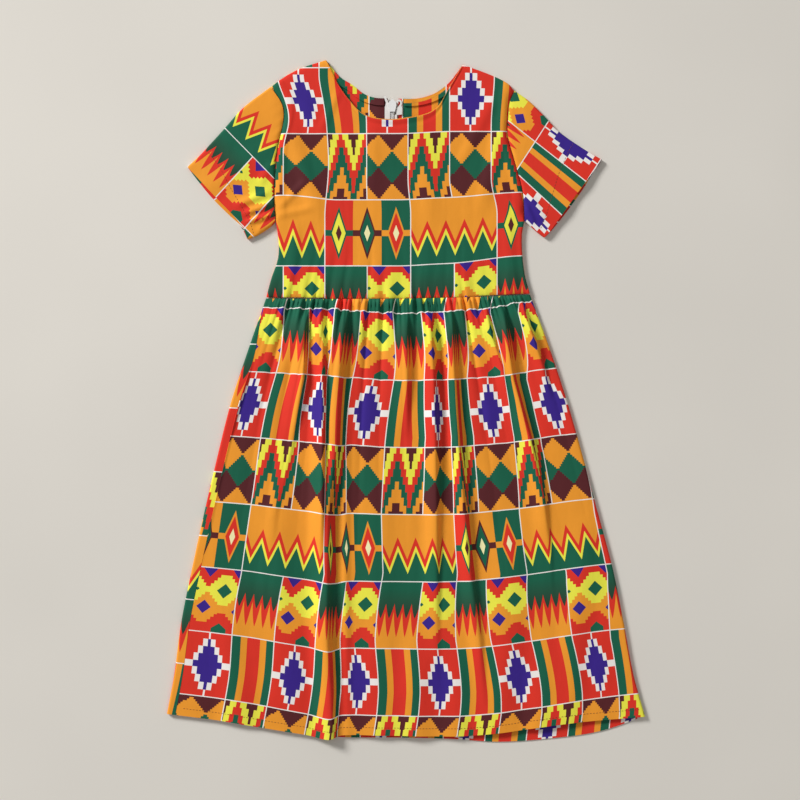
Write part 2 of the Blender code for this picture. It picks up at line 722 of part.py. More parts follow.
def main():
    """Build every piece of the dress."""
    clear_scene()
    cloth = make_material("printed_cloth", (0.78, 0.30, 0.05), 0.75)
    tape = make_material("zip_tape_cloth", (0.86, 0.85, 0.83), 0.8)
    nylon = make_material("zip_nylon", (0.84, 0.84, 0.83), 0.45)
    metal = make_material("zip_enamel", (0.88, 0.88, 0.87), 0.35)
    build_bodice(cloth)
    build_sleeve(
        "sleeve_left", ARMHOLE_LEFT, CUFF_LEFT, SLEEVE_TOP_LEFT, SLEEVE_UNDER_LEFT, -1.0, 3.5, cloth,
    )
    build_sleeve(
        "sleeve_right", ARMHOLE_RIGHT, CUFF_RIGHT, SLEEVE_TOP_RIGHT, SLEEVE_UNDER_RIGHT, 1.0, 2.5, cloth,
    )
    build_skirt(cloth)
    build_facing("neck_facing_left", FACING_EDGE_LEFT, cloth)
    build_facing("neck_facing_right", FACING_EDGE_RIGHT, cloth)
    near = CHAIN_HALF_WIDTH + SEAM_GAP
    left_tip = ((325.0, near, TAPE_LEFT_REACH), (328.0, 4.8, 7.2), (335.2, 6.8, 8.4))
    right_tip = ((322.0, near, TAPE_RIGHT_REACH), (324.0, near, TAPE_RIGHT_REACH), (330.5, 4.8, 9.5))
    build_tape("zip_tape_left", near, TAPE_LEFT_REACH, -1.0, left_tip, tape)
    build_tape("zip_tape_right", near, TAPE_RIGHT_REACH, 1.0, right_tip, tape)
    build_chain(nylon)
    build_slider(metal)
    build_pull(metal)


main()
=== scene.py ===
"""Child's short-sleeved gathered dress with a back zip, laid flat.

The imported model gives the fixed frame. Every cut piece of cloth is a thin
shell on its solid's form, carrying its own place in the printed cloth, and
the print itself is worked out in the shader from those cloth places. Shapes
are worked in millimetres and turned into metres when a mesh is made.
"""

import ast
import json
import logging
import math
import random
from collections.abc import Callable, Sequence
from dataclasses import dataclass
from enum import Enum

import bpy
import numpy as np
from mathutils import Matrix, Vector

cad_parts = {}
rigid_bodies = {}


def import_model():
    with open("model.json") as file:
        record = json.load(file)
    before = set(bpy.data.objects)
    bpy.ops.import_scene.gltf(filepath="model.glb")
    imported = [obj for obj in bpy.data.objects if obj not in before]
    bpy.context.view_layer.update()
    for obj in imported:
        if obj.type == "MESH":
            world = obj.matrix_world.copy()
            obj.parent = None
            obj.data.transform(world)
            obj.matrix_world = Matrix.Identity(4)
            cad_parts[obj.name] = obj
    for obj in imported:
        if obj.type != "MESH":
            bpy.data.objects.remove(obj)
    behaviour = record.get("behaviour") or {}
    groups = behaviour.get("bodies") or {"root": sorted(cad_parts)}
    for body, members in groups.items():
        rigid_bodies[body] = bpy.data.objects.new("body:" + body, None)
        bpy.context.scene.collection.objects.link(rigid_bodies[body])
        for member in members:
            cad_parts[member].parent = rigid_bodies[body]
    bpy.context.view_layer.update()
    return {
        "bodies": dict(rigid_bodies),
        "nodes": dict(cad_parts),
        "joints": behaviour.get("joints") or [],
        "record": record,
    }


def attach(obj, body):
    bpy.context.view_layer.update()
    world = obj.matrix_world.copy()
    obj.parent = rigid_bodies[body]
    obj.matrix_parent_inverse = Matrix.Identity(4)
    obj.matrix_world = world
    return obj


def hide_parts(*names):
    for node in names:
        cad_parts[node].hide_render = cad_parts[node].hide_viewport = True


log = logging.getLogger("dress")
MM = 0.001
Point = tuple[float, float]
Curve = Callable[[float], Vector]


# ------------------------------------------------------------------ the cloth's own sizes

CELL_WIDTH = 45.7
CELL_HEIGHT = 73.7
PRINT_LINE = 1.1
CLOTH_THICKNESS = 0.8
SEAM_GAP = 0.3
SKIRT_LENGTH = 480.0
# Height of the facings and tapes, which lie on the back's inner face
INNER_FACE_Z = 2.5
LAID_HEIGHT = 4.2
CENTRE_Z = LAID_HEIGHT / 2.0
FOLD_RADIUS = LAID_HEIGHT / 2.0
PANEL_RADIUS = FOLD_RADIUS - SEAM_GAP / 2.0
QUARTER = FOLD_RADIUS * math.pi / 2.0

ZIP_X = -15.0
SLOT_HALF_WIDTH = 5.2

# Outlines of the laid dress, as the model has them
SIDE_LEFT = ((-154, 113), (-148, 135), (-141, 156), (-140, 172), (-143, 197))
SIDE_RIGHT = ((136.5, 117), (131, 137), (128, 160), (127.5, 182), (130, 198))
ARMHOLE_LEFT = (
    (-143, 197), (-145, 221), (-144, 250), (-141, 280), (-134.5, 309), (-136, 326), (-148.5, 345.5),
)
ARMHOLE_RIGHT = (
    (130, 198), (128, 230), (119, 264), (111.5, 292), (112, 312), (113.5, 328), (119, 341),
)
SHOULDER_LEFT = ((-148.5, 345.5), (-132, 357.5), (-114, 366.5), (-88, 375))
SHOULDER_RIGHT = ((62.5, 370), (94.5, 358), (112, 349), (119, 341))
FRONT_NECK = (
    (-88, 375), (-77, 352), (-62, 330.5), (-46, 315), (-21, 309.5), (5, 312), (25, 317), (36, 325),
    (46, 342), (62.5, 370),
)
BACK_NECK_LEFT = ((-88, 375), (-73, 357), (-59, 348), (-46, 338), (-33, 333.5), (-20.2, 333))
BACK_NECK_RIGHT = ((-9.8, 332.5), (7, 332.5), (20, 334.5), (34, 340), (48, 351), (62.5, 370))
FACING_EDGE_LEFT = ((-82, 367.5), (-73, 357), (-59, 348), (-46, 338), (-33, 333.5), (-24, 333))
FACING_EDGE_RIGHT = ((-2.6, 332.3), (7, 332.5), (20, 334.5), (34, 340), (48, 351), (55, 360.5))
WAIST = ((-154, 113), (-70, 112.5), (0, 113), (70, 114.5), (136.5, 117))
WAIST_BACK_LEFT = ((-154, 113), (-70, 112.5), (ZIP_X - SEAM_GAP / 2, 113))
WAIST_BACK_RIGHT = ((ZIP_X + SEAM_GAP / 2, 113), (0, 113), (70, 114.5), (136.5, 117))
SKIRT_LEFT = (
    (-154, 113), (-173, 60), (-193, 0), (-208, -60), (-222, -120), (-235, -180), (-247, -240),
    (-255, -300), (-263, -344),
)
SKIRT_RIGHT = (
    (136.5, 117), (158, 60), (178, 0), (195, -60), (211, -120), (227, -180), (239, -240),
    (250, -300), (263, -347),
)
FRONT_HEM = (
    (-263, -344), (-200, -352), (-154, -360), (-111, -367), (-86, -371.5), (-72, -367.5),
    (-33, -367.5), (57, -368.5), (103, -365), (148, -358.5), (192, -353), (263, -347),
)
BACK_HEM = (
    (-263, -344), (-200, -352), (-154, -360), (-111, -367), (-70, -370), (0, -370.5), (54, -372),
    (103, -375), (153, -372), (213, -364), (263, -347),
)
SLEEVE_TOP_LEFT = ((-148.5, 345.5), (-179, 322.5), (-203, 296), (-227, 270), (-240.5, 257.5))
SLEEVE_UNDER_LEFT = ((-143, 197), (-150, 190.5), (-164, 181.5), (-174, 177.5))
CUFF_LEFT = ((-240.5, 257.5), (-214, 229), (-181, 193.5), (-174, 177.5))
SLEEVE_TOP_RIGHT = ((119, 341), (134, 331), (152, 313.5), (168, 296.5), (193.5, 278.5), (215.5, 265.5))
SLEEVE_UNDER_RIGHT = ((130, 198), (143, 186.5), (152, 179.5))
CUFF_RIGHT = ((215.5, 265.5), (186, 225), (158, 186), (152, 179.5))


# ------------------------------------------------------------------ curves and easing

def smooth_step(value: float) -> float:
    """Ease from 0 to 1 as the value goes from 0 to 1."""
    held = min(max(value, 0.0), 1.0)
    return held * held * (3.0 - 2.0 * held)


def follow(stops: Sequence[Sequence[float]], y: float, item: int) -> float:
    """Read one column of a listed route that runs down the dress.

    Args:
        stops: Rows of (x, y, ...) from the top down.
        y: Height on the laid dress.
        item: Which column to read.

    Returns:
        The value at that height, eased between the stops.
    """
    if y >= stops[0][1]:
        return stops[0][item]
    for upper, lower in zip(stops, stops[1:]):
        if y >= lower[1]:
            share = (upper[1] - y) / (upper[1] - lower[1])
            return upper[item] + (lower[item] - upper[item]) * share
    return stops[-1][item]


def curve_through(points: Sequence[Sequence[float]]) -> Curve:
    """Return a function of 0..1 that follows the points evenly by length.

    Args:
        points: Given points of the outline.

    Returns:
        The smooth curve as a function of its share of length.
    """
    knots = [Vector(point) for point in points]
    lengths = [0.0]
    for start, end in zip(knots, knots[1:]):
        lengths.append(lengths[-1] + (end - start).length)
    slopes = []
    for index in range(len(knots)):
        before = max(index - 1, 0)
        after = min(index + 1, len(knots) - 1)
        slopes.append((knots[after] - knots[before]) / (lengths[after] - lengths[before]))

    def at(fraction: float) -> Vector:
        """Point at this share of the curve's length.

        Args:
            fraction: Share of the length, from 0 to 1.

        Returns:
            The point in millimetres.
        """
        distance = min(max(fraction, 0.0), 1.0) * lengths[-1]
        index = 0
        while index < len(knots) - 2 and distance > lengths[index + 1]:
            index += 1
        span = lengths[index + 1] - lengths[index]
        s = (distance - lengths[index]) / span
        start = knots[index] * (2 * s ** 3 - 3 * s ** 2 + 1)
        end = knots[index + 1] * (3 * s ** 2 - 2 * s ** 3)
        leave = slopes[index] * span * (s ** 3 - 2 * s ** 2 + s)
        arrive = slopes[index + 1] * span * (s ** 3 - s ** 2)
        return start + end + leave + arrive

    return at


def joined_curve(parts: Sequence[Sequence[Point]], breaks: Sequence[float]) -> Curve:
    """Join curves end to end.

    Args:
        parts: The point lists of the curves.
        breaks: Where each curve starts and the last one ends, from 0 to 1.

    Returns:
        One curve over 0..1.
    """
    curves = [curve_through(points) for points in parts]

    def at(fraction: float) -> Vector:
        """Point at this share of the joined curve.

        Args:
            fraction: Share of the whole, from 0 to 1.

        Returns:
            The point in millimetres.
        """
        index = 0
        while index < len(curves) - 1 and fraction > breaks[index + 1]:
            index += 1
        low, high = breaks[index], breaks[index + 1]
        return curves[index]((fraction - low) / (high - low))

    return at


def blended_patch(bottom: Curve, top: Curve, left: Curve, right: Curve) -> Callable[[float, float], Vector]:
    """Fill four edge curves with a smooth grid.

    Args:
        bottom: Edge at v = 0.
        top: Edge at v = 1.
        left: Edge at u = 0.
        right: Edge at u = 1.

    Returns:
        A function of (u, v).
    """

    def at(u: float, v: float) -> Vector:
        """Point inside the four edges.

        Args:
            u: Share of the way across.
            v: Share of the way up.

        Returns:
            The point in millimetres.
        """
        edges = bottom(u) * (1 - v) + top(u) * v + left(v) * (1 - u) + right(v) * u
        low = bottom(0) * (1 - u) + bottom(1) * u
        high = top(0) * (1 - u) + top(1) * u
        return edges - low * (1 - v) - high * v

    return at


def path_length(points: Sequence[Point]) -> float:
    """Length of a run of points."""
    return sum((Vector(b) - Vector(a)).length for a, b in zip(points, points[1:]))


def zip_lift(
    x: float, y: float, lift: float, reach: float, fade: float, low_y: float, high_y: float,
) -> float:
    """Height the cloth gains where it passes over the zip's pull tab.

    Args:
        x: Place across the dress.
        y: Place up the dress.
        lift: Full height gained.
        reach: Half width that has the full height.
        fade: Width over which the height fades away.
        low_y: Where the rise starts.
        high_y: Where it is complete.

    Returns:
        The height to add.
    """
    across = 1.0 - smooth_step((abs(x - ZIP_X) - reach) / fade)
    return lift * across * smooth_step((y - low_y) / (high_y - low_y))


def back_lift(x: float, y: float) -> float:
    """Lift of the back panels, the zip tapes and the neck facings."""
    return zip_lift(x, y, 1.5, 13.0, 16.0, 262.0, 298.0)


def front_lift(x: float, y: float) -> float:
    """Lift of the front panel, which lies on the zip."""
    return zip_lift(x, y, 1.6, 16.0, 24.0, 250.0, 288.0)


# ------------------------------------------------------------------ where the print lies

@dataclass(frozen=True)
class Grain:
    """How a cut piece lies in the printed cloth.

    A cloth place is (column, row): whole numbers are the print's fine lines.
    """

    x: float
    y: float
    column: float
    row: float
    across: float = 0.0
    down: float = -90.0
    width: float = CELL_WIDTH
    height: float = CELL_HEIGHT
    fan: float = 0.0

    def at(self, x: float, y: float) -> Point:
        """Cloth place of a point of the laid dress.

        Args:
            x: Place across the dress.
            y: Place up the dress.

        Returns:
            The (column, row) that lies there.
        """
        ax, ay = math.cos(math.radians(self.across)), math.sin(math.radians(self.across))
        dx, dy = math.cos(math.radians(self.down)), math.sin(math.radians(self.down))
        step_x, step_y = x - self.x, y - self.y
        turn = ax * dy - ay * dx
        run = (step_x * dy - step_y * dx) / turn
        drop = (ax * step_y - ay * step_x) / turn / self.height
        return self.column + run / (self.width * (1.0 + self.fan * drop)), self.row + drop


@dataclass(frozen=True)
class Gather:
    """One long fold of the gathered skirt, from the waist down.

    Each stop is (x of the crest, y, cloth taken up there). The cloth rises
    gently to the crest and drops steeply behind it, where most of what the
    fold takes up is hidden.
    """

    stops: tuple[tuple[float, float, float], ...]
    rise: float = 26.0
    drop: float = 6.0
    height_share: float = 0.55
    tallest: float = 8.6

    def crest(self, y: float) -> float:
        """Where the crest is at this height."""
        return follow(self.stops, y, 0)

    def taken(self, y: float) -> float:
        """Cloth that the fold takes up at this height."""
        return follow(self.stops, y, 2)

    def hidden(self, x: float, y: float) -> float:
        """Cloth taken up between the left side and this place."""
        gone = smooth_step((x - self.crest(y) + 1.0) / (self.drop + 2.0))
        return self.taken(y) * (0.12 * smooth_step((x - self.crest(y) + self.rise) / self.rise) + 0.88 * gone)

    def height(self, x: float, y: float) -> float:
        """Height of the fold above the laid cloth.

        Args:
            x: Place across the dress.
            y: Place up the dress.

        Returns:
            The height in millimetres.
        """
        tall = min(self.taken(y) * self.height_share, self.tallest)
        up = smooth_step((x - self.crest(y) + self.rise) / self.rise)
        down = 1.0 - smooth_step((x - self.crest(y)) / self.drop)
        return tall * up ** 1.5 * down


GATHERS = (
    Gather(((-161, 97, 20), (-177, 25, 13), (-198, -48, 10), (-215, -123, 5), (-229, -190, 0)),
           rise=5, drop=5),
    Gather(((-111, 97, 22), (-113, 25, 14), (-126, -48, 3), (-144, -123, 2), (-150, -190, 0)), rise=20),
    Gather(((-92, 97, 13), (-92, 25, 21), (-92, -48, 21), (-93, -123, 9), (-96, -190, 0)), rise=18),
    Gather(((-67, 97, 16), (-74, 25, 17), (-77, -48, 19), (-86, -123, 20), (-87, -197, 20), (-87, -262, 20),
            (-83, -320, 14), (-82, -372, 12)), rise=28, drop=9, tallest=9.6),
    Gather(((-50, 97, 12), (-58, 25, 2), (-66, -48, 5), (-67, -123, 9), (-67, -197, 9), (-66, -270, 7),
            (-64, -343, 3)), rise=8, drop=8, height_share=0.2),
    Gather(((0, 97, 14), (1, 25, 12), (0, -40, 1), (0, -90, 0)), rise=22),
    Gather(((27, 97, 20), (30, 25, 19), (32, -48, 16), (33, -123, 11), (33, -197, 7), (33, -270, 2),
            (33, -330, 0)), rise=22, drop=7),
    Gather(((49, 97, 24), (53, 25, 26), (57, -48, 22), (64, -123, 18), (69, -180, 13), (80, -262, 7),
            (86, -343, 0)), rise=17, drop=7),
    Gather(((88, 97, 18), (94, 70, 12), (104, 38, 6), (112, 0, 2), (118, -60, 0)),
           rise=20, drop=4, height_share=0.5),
    Gather(((107, 97, 13), (117, 25, 20), (136, -42, 16), (151, -110, 9), (158, -170, 3), (160, -220, 0)),
           rise=22, drop=5),
    Gather(((129, 97, 27), (148, 45, 9), (160, 0, 0)), rise=14, drop=5),
)


# ------------------------------------------------------------------ meshes

def metres_object(name: str, mesh: bpy.types.Mesh, material: bpy.types.Material) -> bpy.types.Object:
    """Put a finished mesh in the scene.

    Args:
        name: The piece's name.
        mesh: Its mesh, in metres.
        material: Its finish.

    Returns:
        The new object.
    """
    mesh.shade_smooth()
    mesh.materials.append(material)
    thing = bpy.data.objects.new(name, mesh)
    bpy.context.scene.collection.objects.link(thing)
    return thing


def cloth_shell(
    name: str, outer: np.ndarray, prints: np.ndarray, material: bpy.types.Material,
    thickness: float = CLOTH_THICKNESS,
) -> bpy.types.Object:
    """Make a closed thin shell from one face of a piece of cloth.

    Args:
        name: The piece's name.
        outer: Rows of points of the printed face, in millimetres.
        prints: The cloth place of each point.
        material: The cloth.
        thickness: How thick the cloth is.

    Returns:
        The piece, with its cloth places as the UV map "print".
    """
    rows, columns = outer.shape[:2]
    across = np.gradient(outer, axis=1)
    along = np.gradient(outer, axis=0)
    normals = np.cross(across, along)
    normals /= np.maximum(np.linalg.norm(normals, axis=2, keepdims=True), 1e-9)
    inner = outer - normals * thickness
    points = np.concatenate([outer.reshape(-1, 3), inner.reshape(-1, 3)]) * MM
    places = np.concatenate([prints.reshape(-1, 2)] * 2)
    index = np.arange(rows * columns).reshape(rows, columns)
    a, b = index[:-1, :-1], index[:-1, 1:]
    c, d = index[1:, 1:], index[1:, :-1]
    front = np.stack([a, b, c, d], axis=-1).reshape(-1, 4)
    back = np.stack([a, d, c, b], axis=-1).reshape(-1, 4) + rows * columns
    ring = np.concatenate([index[0, :], index[1:, -1], index[-1, -2::-1], index[-2:0:-1, 0]])
    after = np.roll(ring, -1)
    edge = np.stack([after, ring, ring + rows * columns, after + rows * columns], axis=-1)
    faces = np.concatenate([front, back, edge])
    mesh = bpy.data.meshes.new(name)
    mesh.vertices.add(len(points))
    mesh.vertices.foreach_set("co", points.ravel())
    mesh.loops.add(faces.size)
    mesh.loops.foreach_set("vertex_index", faces.ravel().astype(np.int32))
    mesh.polygons.add(len(faces))
    mesh.polygons.foreach_set("loop_start", np.arange(0, faces.size, 4, dtype=np.int32))
    mesh.update(calc_edges=True)
    layer = mesh.uv_layers.new(name="print")
    layer.data.foreach_set("uv", places[faces.ravel()].ravel().astype(np.float32))
    mesh.validate()
    thing = metres_object(name, mesh, material)
    mesh.set_sharp_from_angle(angle=math.radians(70))
    return thing


def joined_solids(
    name: str, solids: Sequence[tuple[np.ndarray, Sequence[tuple[int, ...]]]], material: bpy.types.Material,
) -> bpy.types.Object:
    """Join many small closed solids into one piece.

    Args:
        name: The piece's name.
        solids: Points in millimetres and faces of each solid.
        material: Their finish.

    Returns:
        The piece.
    """
    points: list[tuple[float, ...]] = []
    faces: list[tuple[int, ...]] = []
    for own_points, own_faces in solids:
        start = len(points)
        points += [tuple(point * MM) for point in own_points]
        faces += [tuple(start + corner for corner in face) for face in own_faces]
    mesh = bpy.data.meshes.new(name)
    mesh.from_pydata(points, [], faces)
    mesh.update()
    return metres_object(name, mesh, material)


def thread_bead(
    start: Vector, end: Vector, width: float, height: float,
) -> tuple[np.ndarray, list[tuple[int, ...]]]:
    """One stitch: a short bead of thread, thickest at its middle.

    Args:
        start: Where the thread comes up.
        end: Where it goes down.
        width: Width at the middle.
        height: How far it stands up.

    Returns:
        The stitch's points and faces.
    """
    run = end - start
    side = Vector((-run.y, run.x, 0.0)).normalized() * (width / 2.0)
    up = Vector((0.0, 0.0, height))
    points = [start - up * 0.6, end - up * 0.6]
    sides = 6
    for share in (0.12, 0.5, 0.88):
        full = 1.0 if share == 0.5 else 0.7
        for step in range(sides):
            angle = 2.0 * math.pi * step / sides
            points.append(start + run * share + (side * math.cos(angle) + up * math.sin(angle)) * full)
    faces: list[tuple[int, ...]] = []
    for step in range(sides):
        after = (step + 1) % sides
        faces.append((0, 2 + after, 2 + step))
        faces.append((1, 14 + step, 14 + after))
        for ring in (2, 8):
            faces.append((ring + step, ring + after, ring + sides + after, ring + sides + step))
    return np.array([tuple(point) for point in points]), faces


def stitch_row(
    name: str, route: Sequence[Vector], material: bpy.types.Material, length: float = 2.6, gap: float = 0.9,
    width: float = 0.55, height: float = 0.28,
) -> bpy.types.Object:
    """Sew a row of stitches along a route on the cloth.

    Args:
        name: The row's name.
        route: Points on the cloth's face, in millimetres.
        material: The thread.
        length: Length of a stitch.
        gap: Cloth between two stitches.
        width: Width of the thread.
        height: How far the thread stands up.

    Returns:
        The row as one piece.
    """
    marks = [0.0]
    for start, end in zip(route, route[1:]):
        marks.append(marks[-1] + (end - start).length)

    def place(distance: float) -> Vector:
        """Point at this distance along the route.

        Args:
            distance: Millimetres from the route's start.

        Returns:
            The point in millimetres.
        """
        item = int(np.searchsorted(marks, distance, side="right")) - 1
        item = min(max(item, 0), len(route) - 2)
        share = (distance - marks[item]) / max(marks[item + 1] - marks[item], 1e-6)
        return route[item].lerp(route[item + 1], min(share, 1.0))

    solids = []
    for count in range(int(marks[-1] // (length + gap))):
        begin = count * (length + gap) + gap / 2.0
        solids.append(thread_bead(place(begin), place(begin + length), width, height))
    return joined_solids(name, solids, material)


# ------------------------------------------------------------------ finishes

def linear(code: str) -> tuple[float, float, float, float]:
    """Turn an sRGB hex colour to linear values.

    Args:
        code: Six hex digits.

    Returns:
        Linear red, green and blue, and an alpha of 1.
    """
    parts = [int(code[start:start + 2], 16) / 255.0 for start in (0, 2, 4)]
    red, green, blue = (
        part / 12.92 if part <= 0.04045 else ((part + 0.055) / 1.055) ** 2.4 for part in parts
    )
    return red, green, blue, 1.0


def add_node(
    tree: bpy.types.NodeTree, kind: str, settings: dict[str, object] | None = None,
    inputs: dict[str | int, object] | None = None,
) -> bpy.types.Node:
    """Add a node with its settings and links.

    Args:
        tree: The material's node tree.
        kind: Blender's name for the node.
        settings: Properties of the node.
        inputs: Values of its sockets, or the sockets that feed them.

    Returns:
        The new node.
    """
    node = tree.nodes.new(kind)
    for key, value in (settings or {}).items():
        setattr(node, key, value)
    for key, value in (inputs or {}).items():
        if isinstance(value, bpy.types.NodeSocket):
            tree.links.new(value, node.inputs[key])
        else:
            node.inputs[key].default_value = value
    return node


class Formula:
    """Turns a written formula of cloth places into shader nodes.

    Numbers, names, + - * /, one < or >, `and`, `or`, `not`, and the functions
    abs, floor, fract, mod, min, max and clamp are known. A comparison is 1
    where it holds and 0 elsewhere.
    """

    OPERATORS = {
        ast.Add: "ADD", ast.Sub: "SUBTRACT", ast.Mult: "MULTIPLY", ast.Div: "DIVIDE", ast.Lt: "LESS_THAN",
        ast.Gt: "GREATER_THAN", ast.And: "MULTIPLY", ast.Or: "MAXIMUM",
    }
    FUNCTIONS = {
        "abs": "ABSOLUTE", "floor": "FLOOR", "fract": "FRACT", "mod": "FLOORED_MODULO", "min": "MINIMUM",
        "max": "MAXIMUM",
    }

    def __init__(self, tree: bpy.types.NodeTree) -> None:
        """Start with no names known."""
        self.tree = tree
        self.names: dict[str, bpy.types.NodeSocket | float] = {}

    def let(self, name: str, text: str) -> None:
        """Give a formula's result a name for later formulas."""
        self.names[name] = self.read(text)

    def read(self, text: str) -> bpy.types.NodeSocket | float:
        """Build the nodes of a formula and return its result."""
        return self.visit(ast.parse(text.strip()).body[0].value)

    def math(self, operation: str, *values: object) -> bpy.types.NodeSocket:
        """Add one Math node and return its result."""
        node = add_node(self.tree, "ShaderNodeMath", {"operation": operation}, dict(enumerate(values)))
        return node.outputs[0]

    def visit(self, part: ast.AST) -> bpy.types.NodeSocket | float:
        """Build one part of a formula.

        Args:
            part: The part as Python's grammar reads it.

        Returns:
            The socket or number with its result.
        """
        if isinstance(part, ast.Constant):
            return float(part.value)
        if isinstance(part, ast.Name):
            return self.names[part.id]
        if isinstance(part, ast.UnaryOp):
            inside = self.visit(part.operand)
            if isinstance(part.op, ast.USub):
                return -inside if isinstance(inside, float) else self.math("MULTIPLY", inside, -1.0)
            return self.math("SUBTRACT", 1.0, inside)
        if isinstance(part, ast.BinOp):
            low, high = self.visit(part.left), self.visit(part.right)
            return self.math(self.OPERATORS[type(part.op)], low, high)
        if isinstance(part, ast.Compare):
            low, high = self.visit(part.left), self.visit(part.comparators[0])
            return self.math(self.OPERATORS[type(part.ops[0])], low, high)
        if isinstance(part, ast.BoolOp):
            result = self.visit(part.values[0])
            for value in part.values[1:]:
                result = self.math(self.OPERATORS[type(part.op)], result, self.visit(value))
            return result
        values = [self.visit(value) for value in part.args]
        if part.func.id == "clamp":
            return self.math("MINIMUM", self.math("MAXIMUM", values[0], 0.0), 1.0)
        return self.math(self.FUNCTIONS[part.func.id], *values)


def stairs(step: str, *levels: float) -> str:
    """Formula of a value that changes at each whole step.

    Args:
        step: Name of the step number.
        levels: The value at steps 0, 1, 2 and on.

    Returns:
        The formula's text.
    """
    text = f"{levels[0]:.4f}"
    for count, (before, after) in enumerate(zip(levels, levels[1:])):
        if after != before:
            text += f" + {after - before:.4f} * ({step} > {count + 0.5})"
    return text


class Dye(Enum):
    """The print's colours, as they look on the cloth."""

    ORANGE = "F39C2A"
    RED = "E0301F"
    GREEN = "0B6046"
    YELLOW = "F1EC48"
    BROWN = "571C20"
    PURPLE = "371D8A"
    WHITE = "F4EFEA"
    PALE = "FBF3B8"
    SOOT = "2E2A1C"


@dataclass(frozen=True)
class Motif:
    """One block of the print: where it is, its helper values and its layers.

    Later layers are printed over earlier ones. A layer without a formula
    fills the block.
    """

    where: str
    helpers: tuple[tuple[str, str], ...]
    layers: tuple[tuple[str, Dye], ...]


def lozenge_layers() -> tuple[tuple[str, Dye], ...]:
    """Layers of the three barred lozenges that share a double block.

    Returns:
        The layers, each a formula and its dye.
    """
    layers: list[tuple[str, Dye]] = [("", Dye.RED), ("third > 0.5", Dye.ORANGE), ("third > 1.5", Dye.GREEN)]
    colours = (
        (Dye.GREEN, Dye.YELLOW, Dye.BROWN), (Dye.BROWN, Dye.GREEN, Dye.PALE), (Dye.ORANGE, Dye.RED, Dye.PALE),
    )
    for number, (outline, inside, core) in enumerate(colours):
        here = f"third > {number - 0.5} and third < {number + 0.5} and "
        layers.append((here + "(side / 0.3 + tall / 0.4 < 1 or tall < 0.045)", outline))
        layers.append((here + "side / 0.245 + tall / 0.315 < 1", inside))
        layers.append((here + "side / 0.105 + tall / 0.125 < 1", core))
    return tuple(layers)


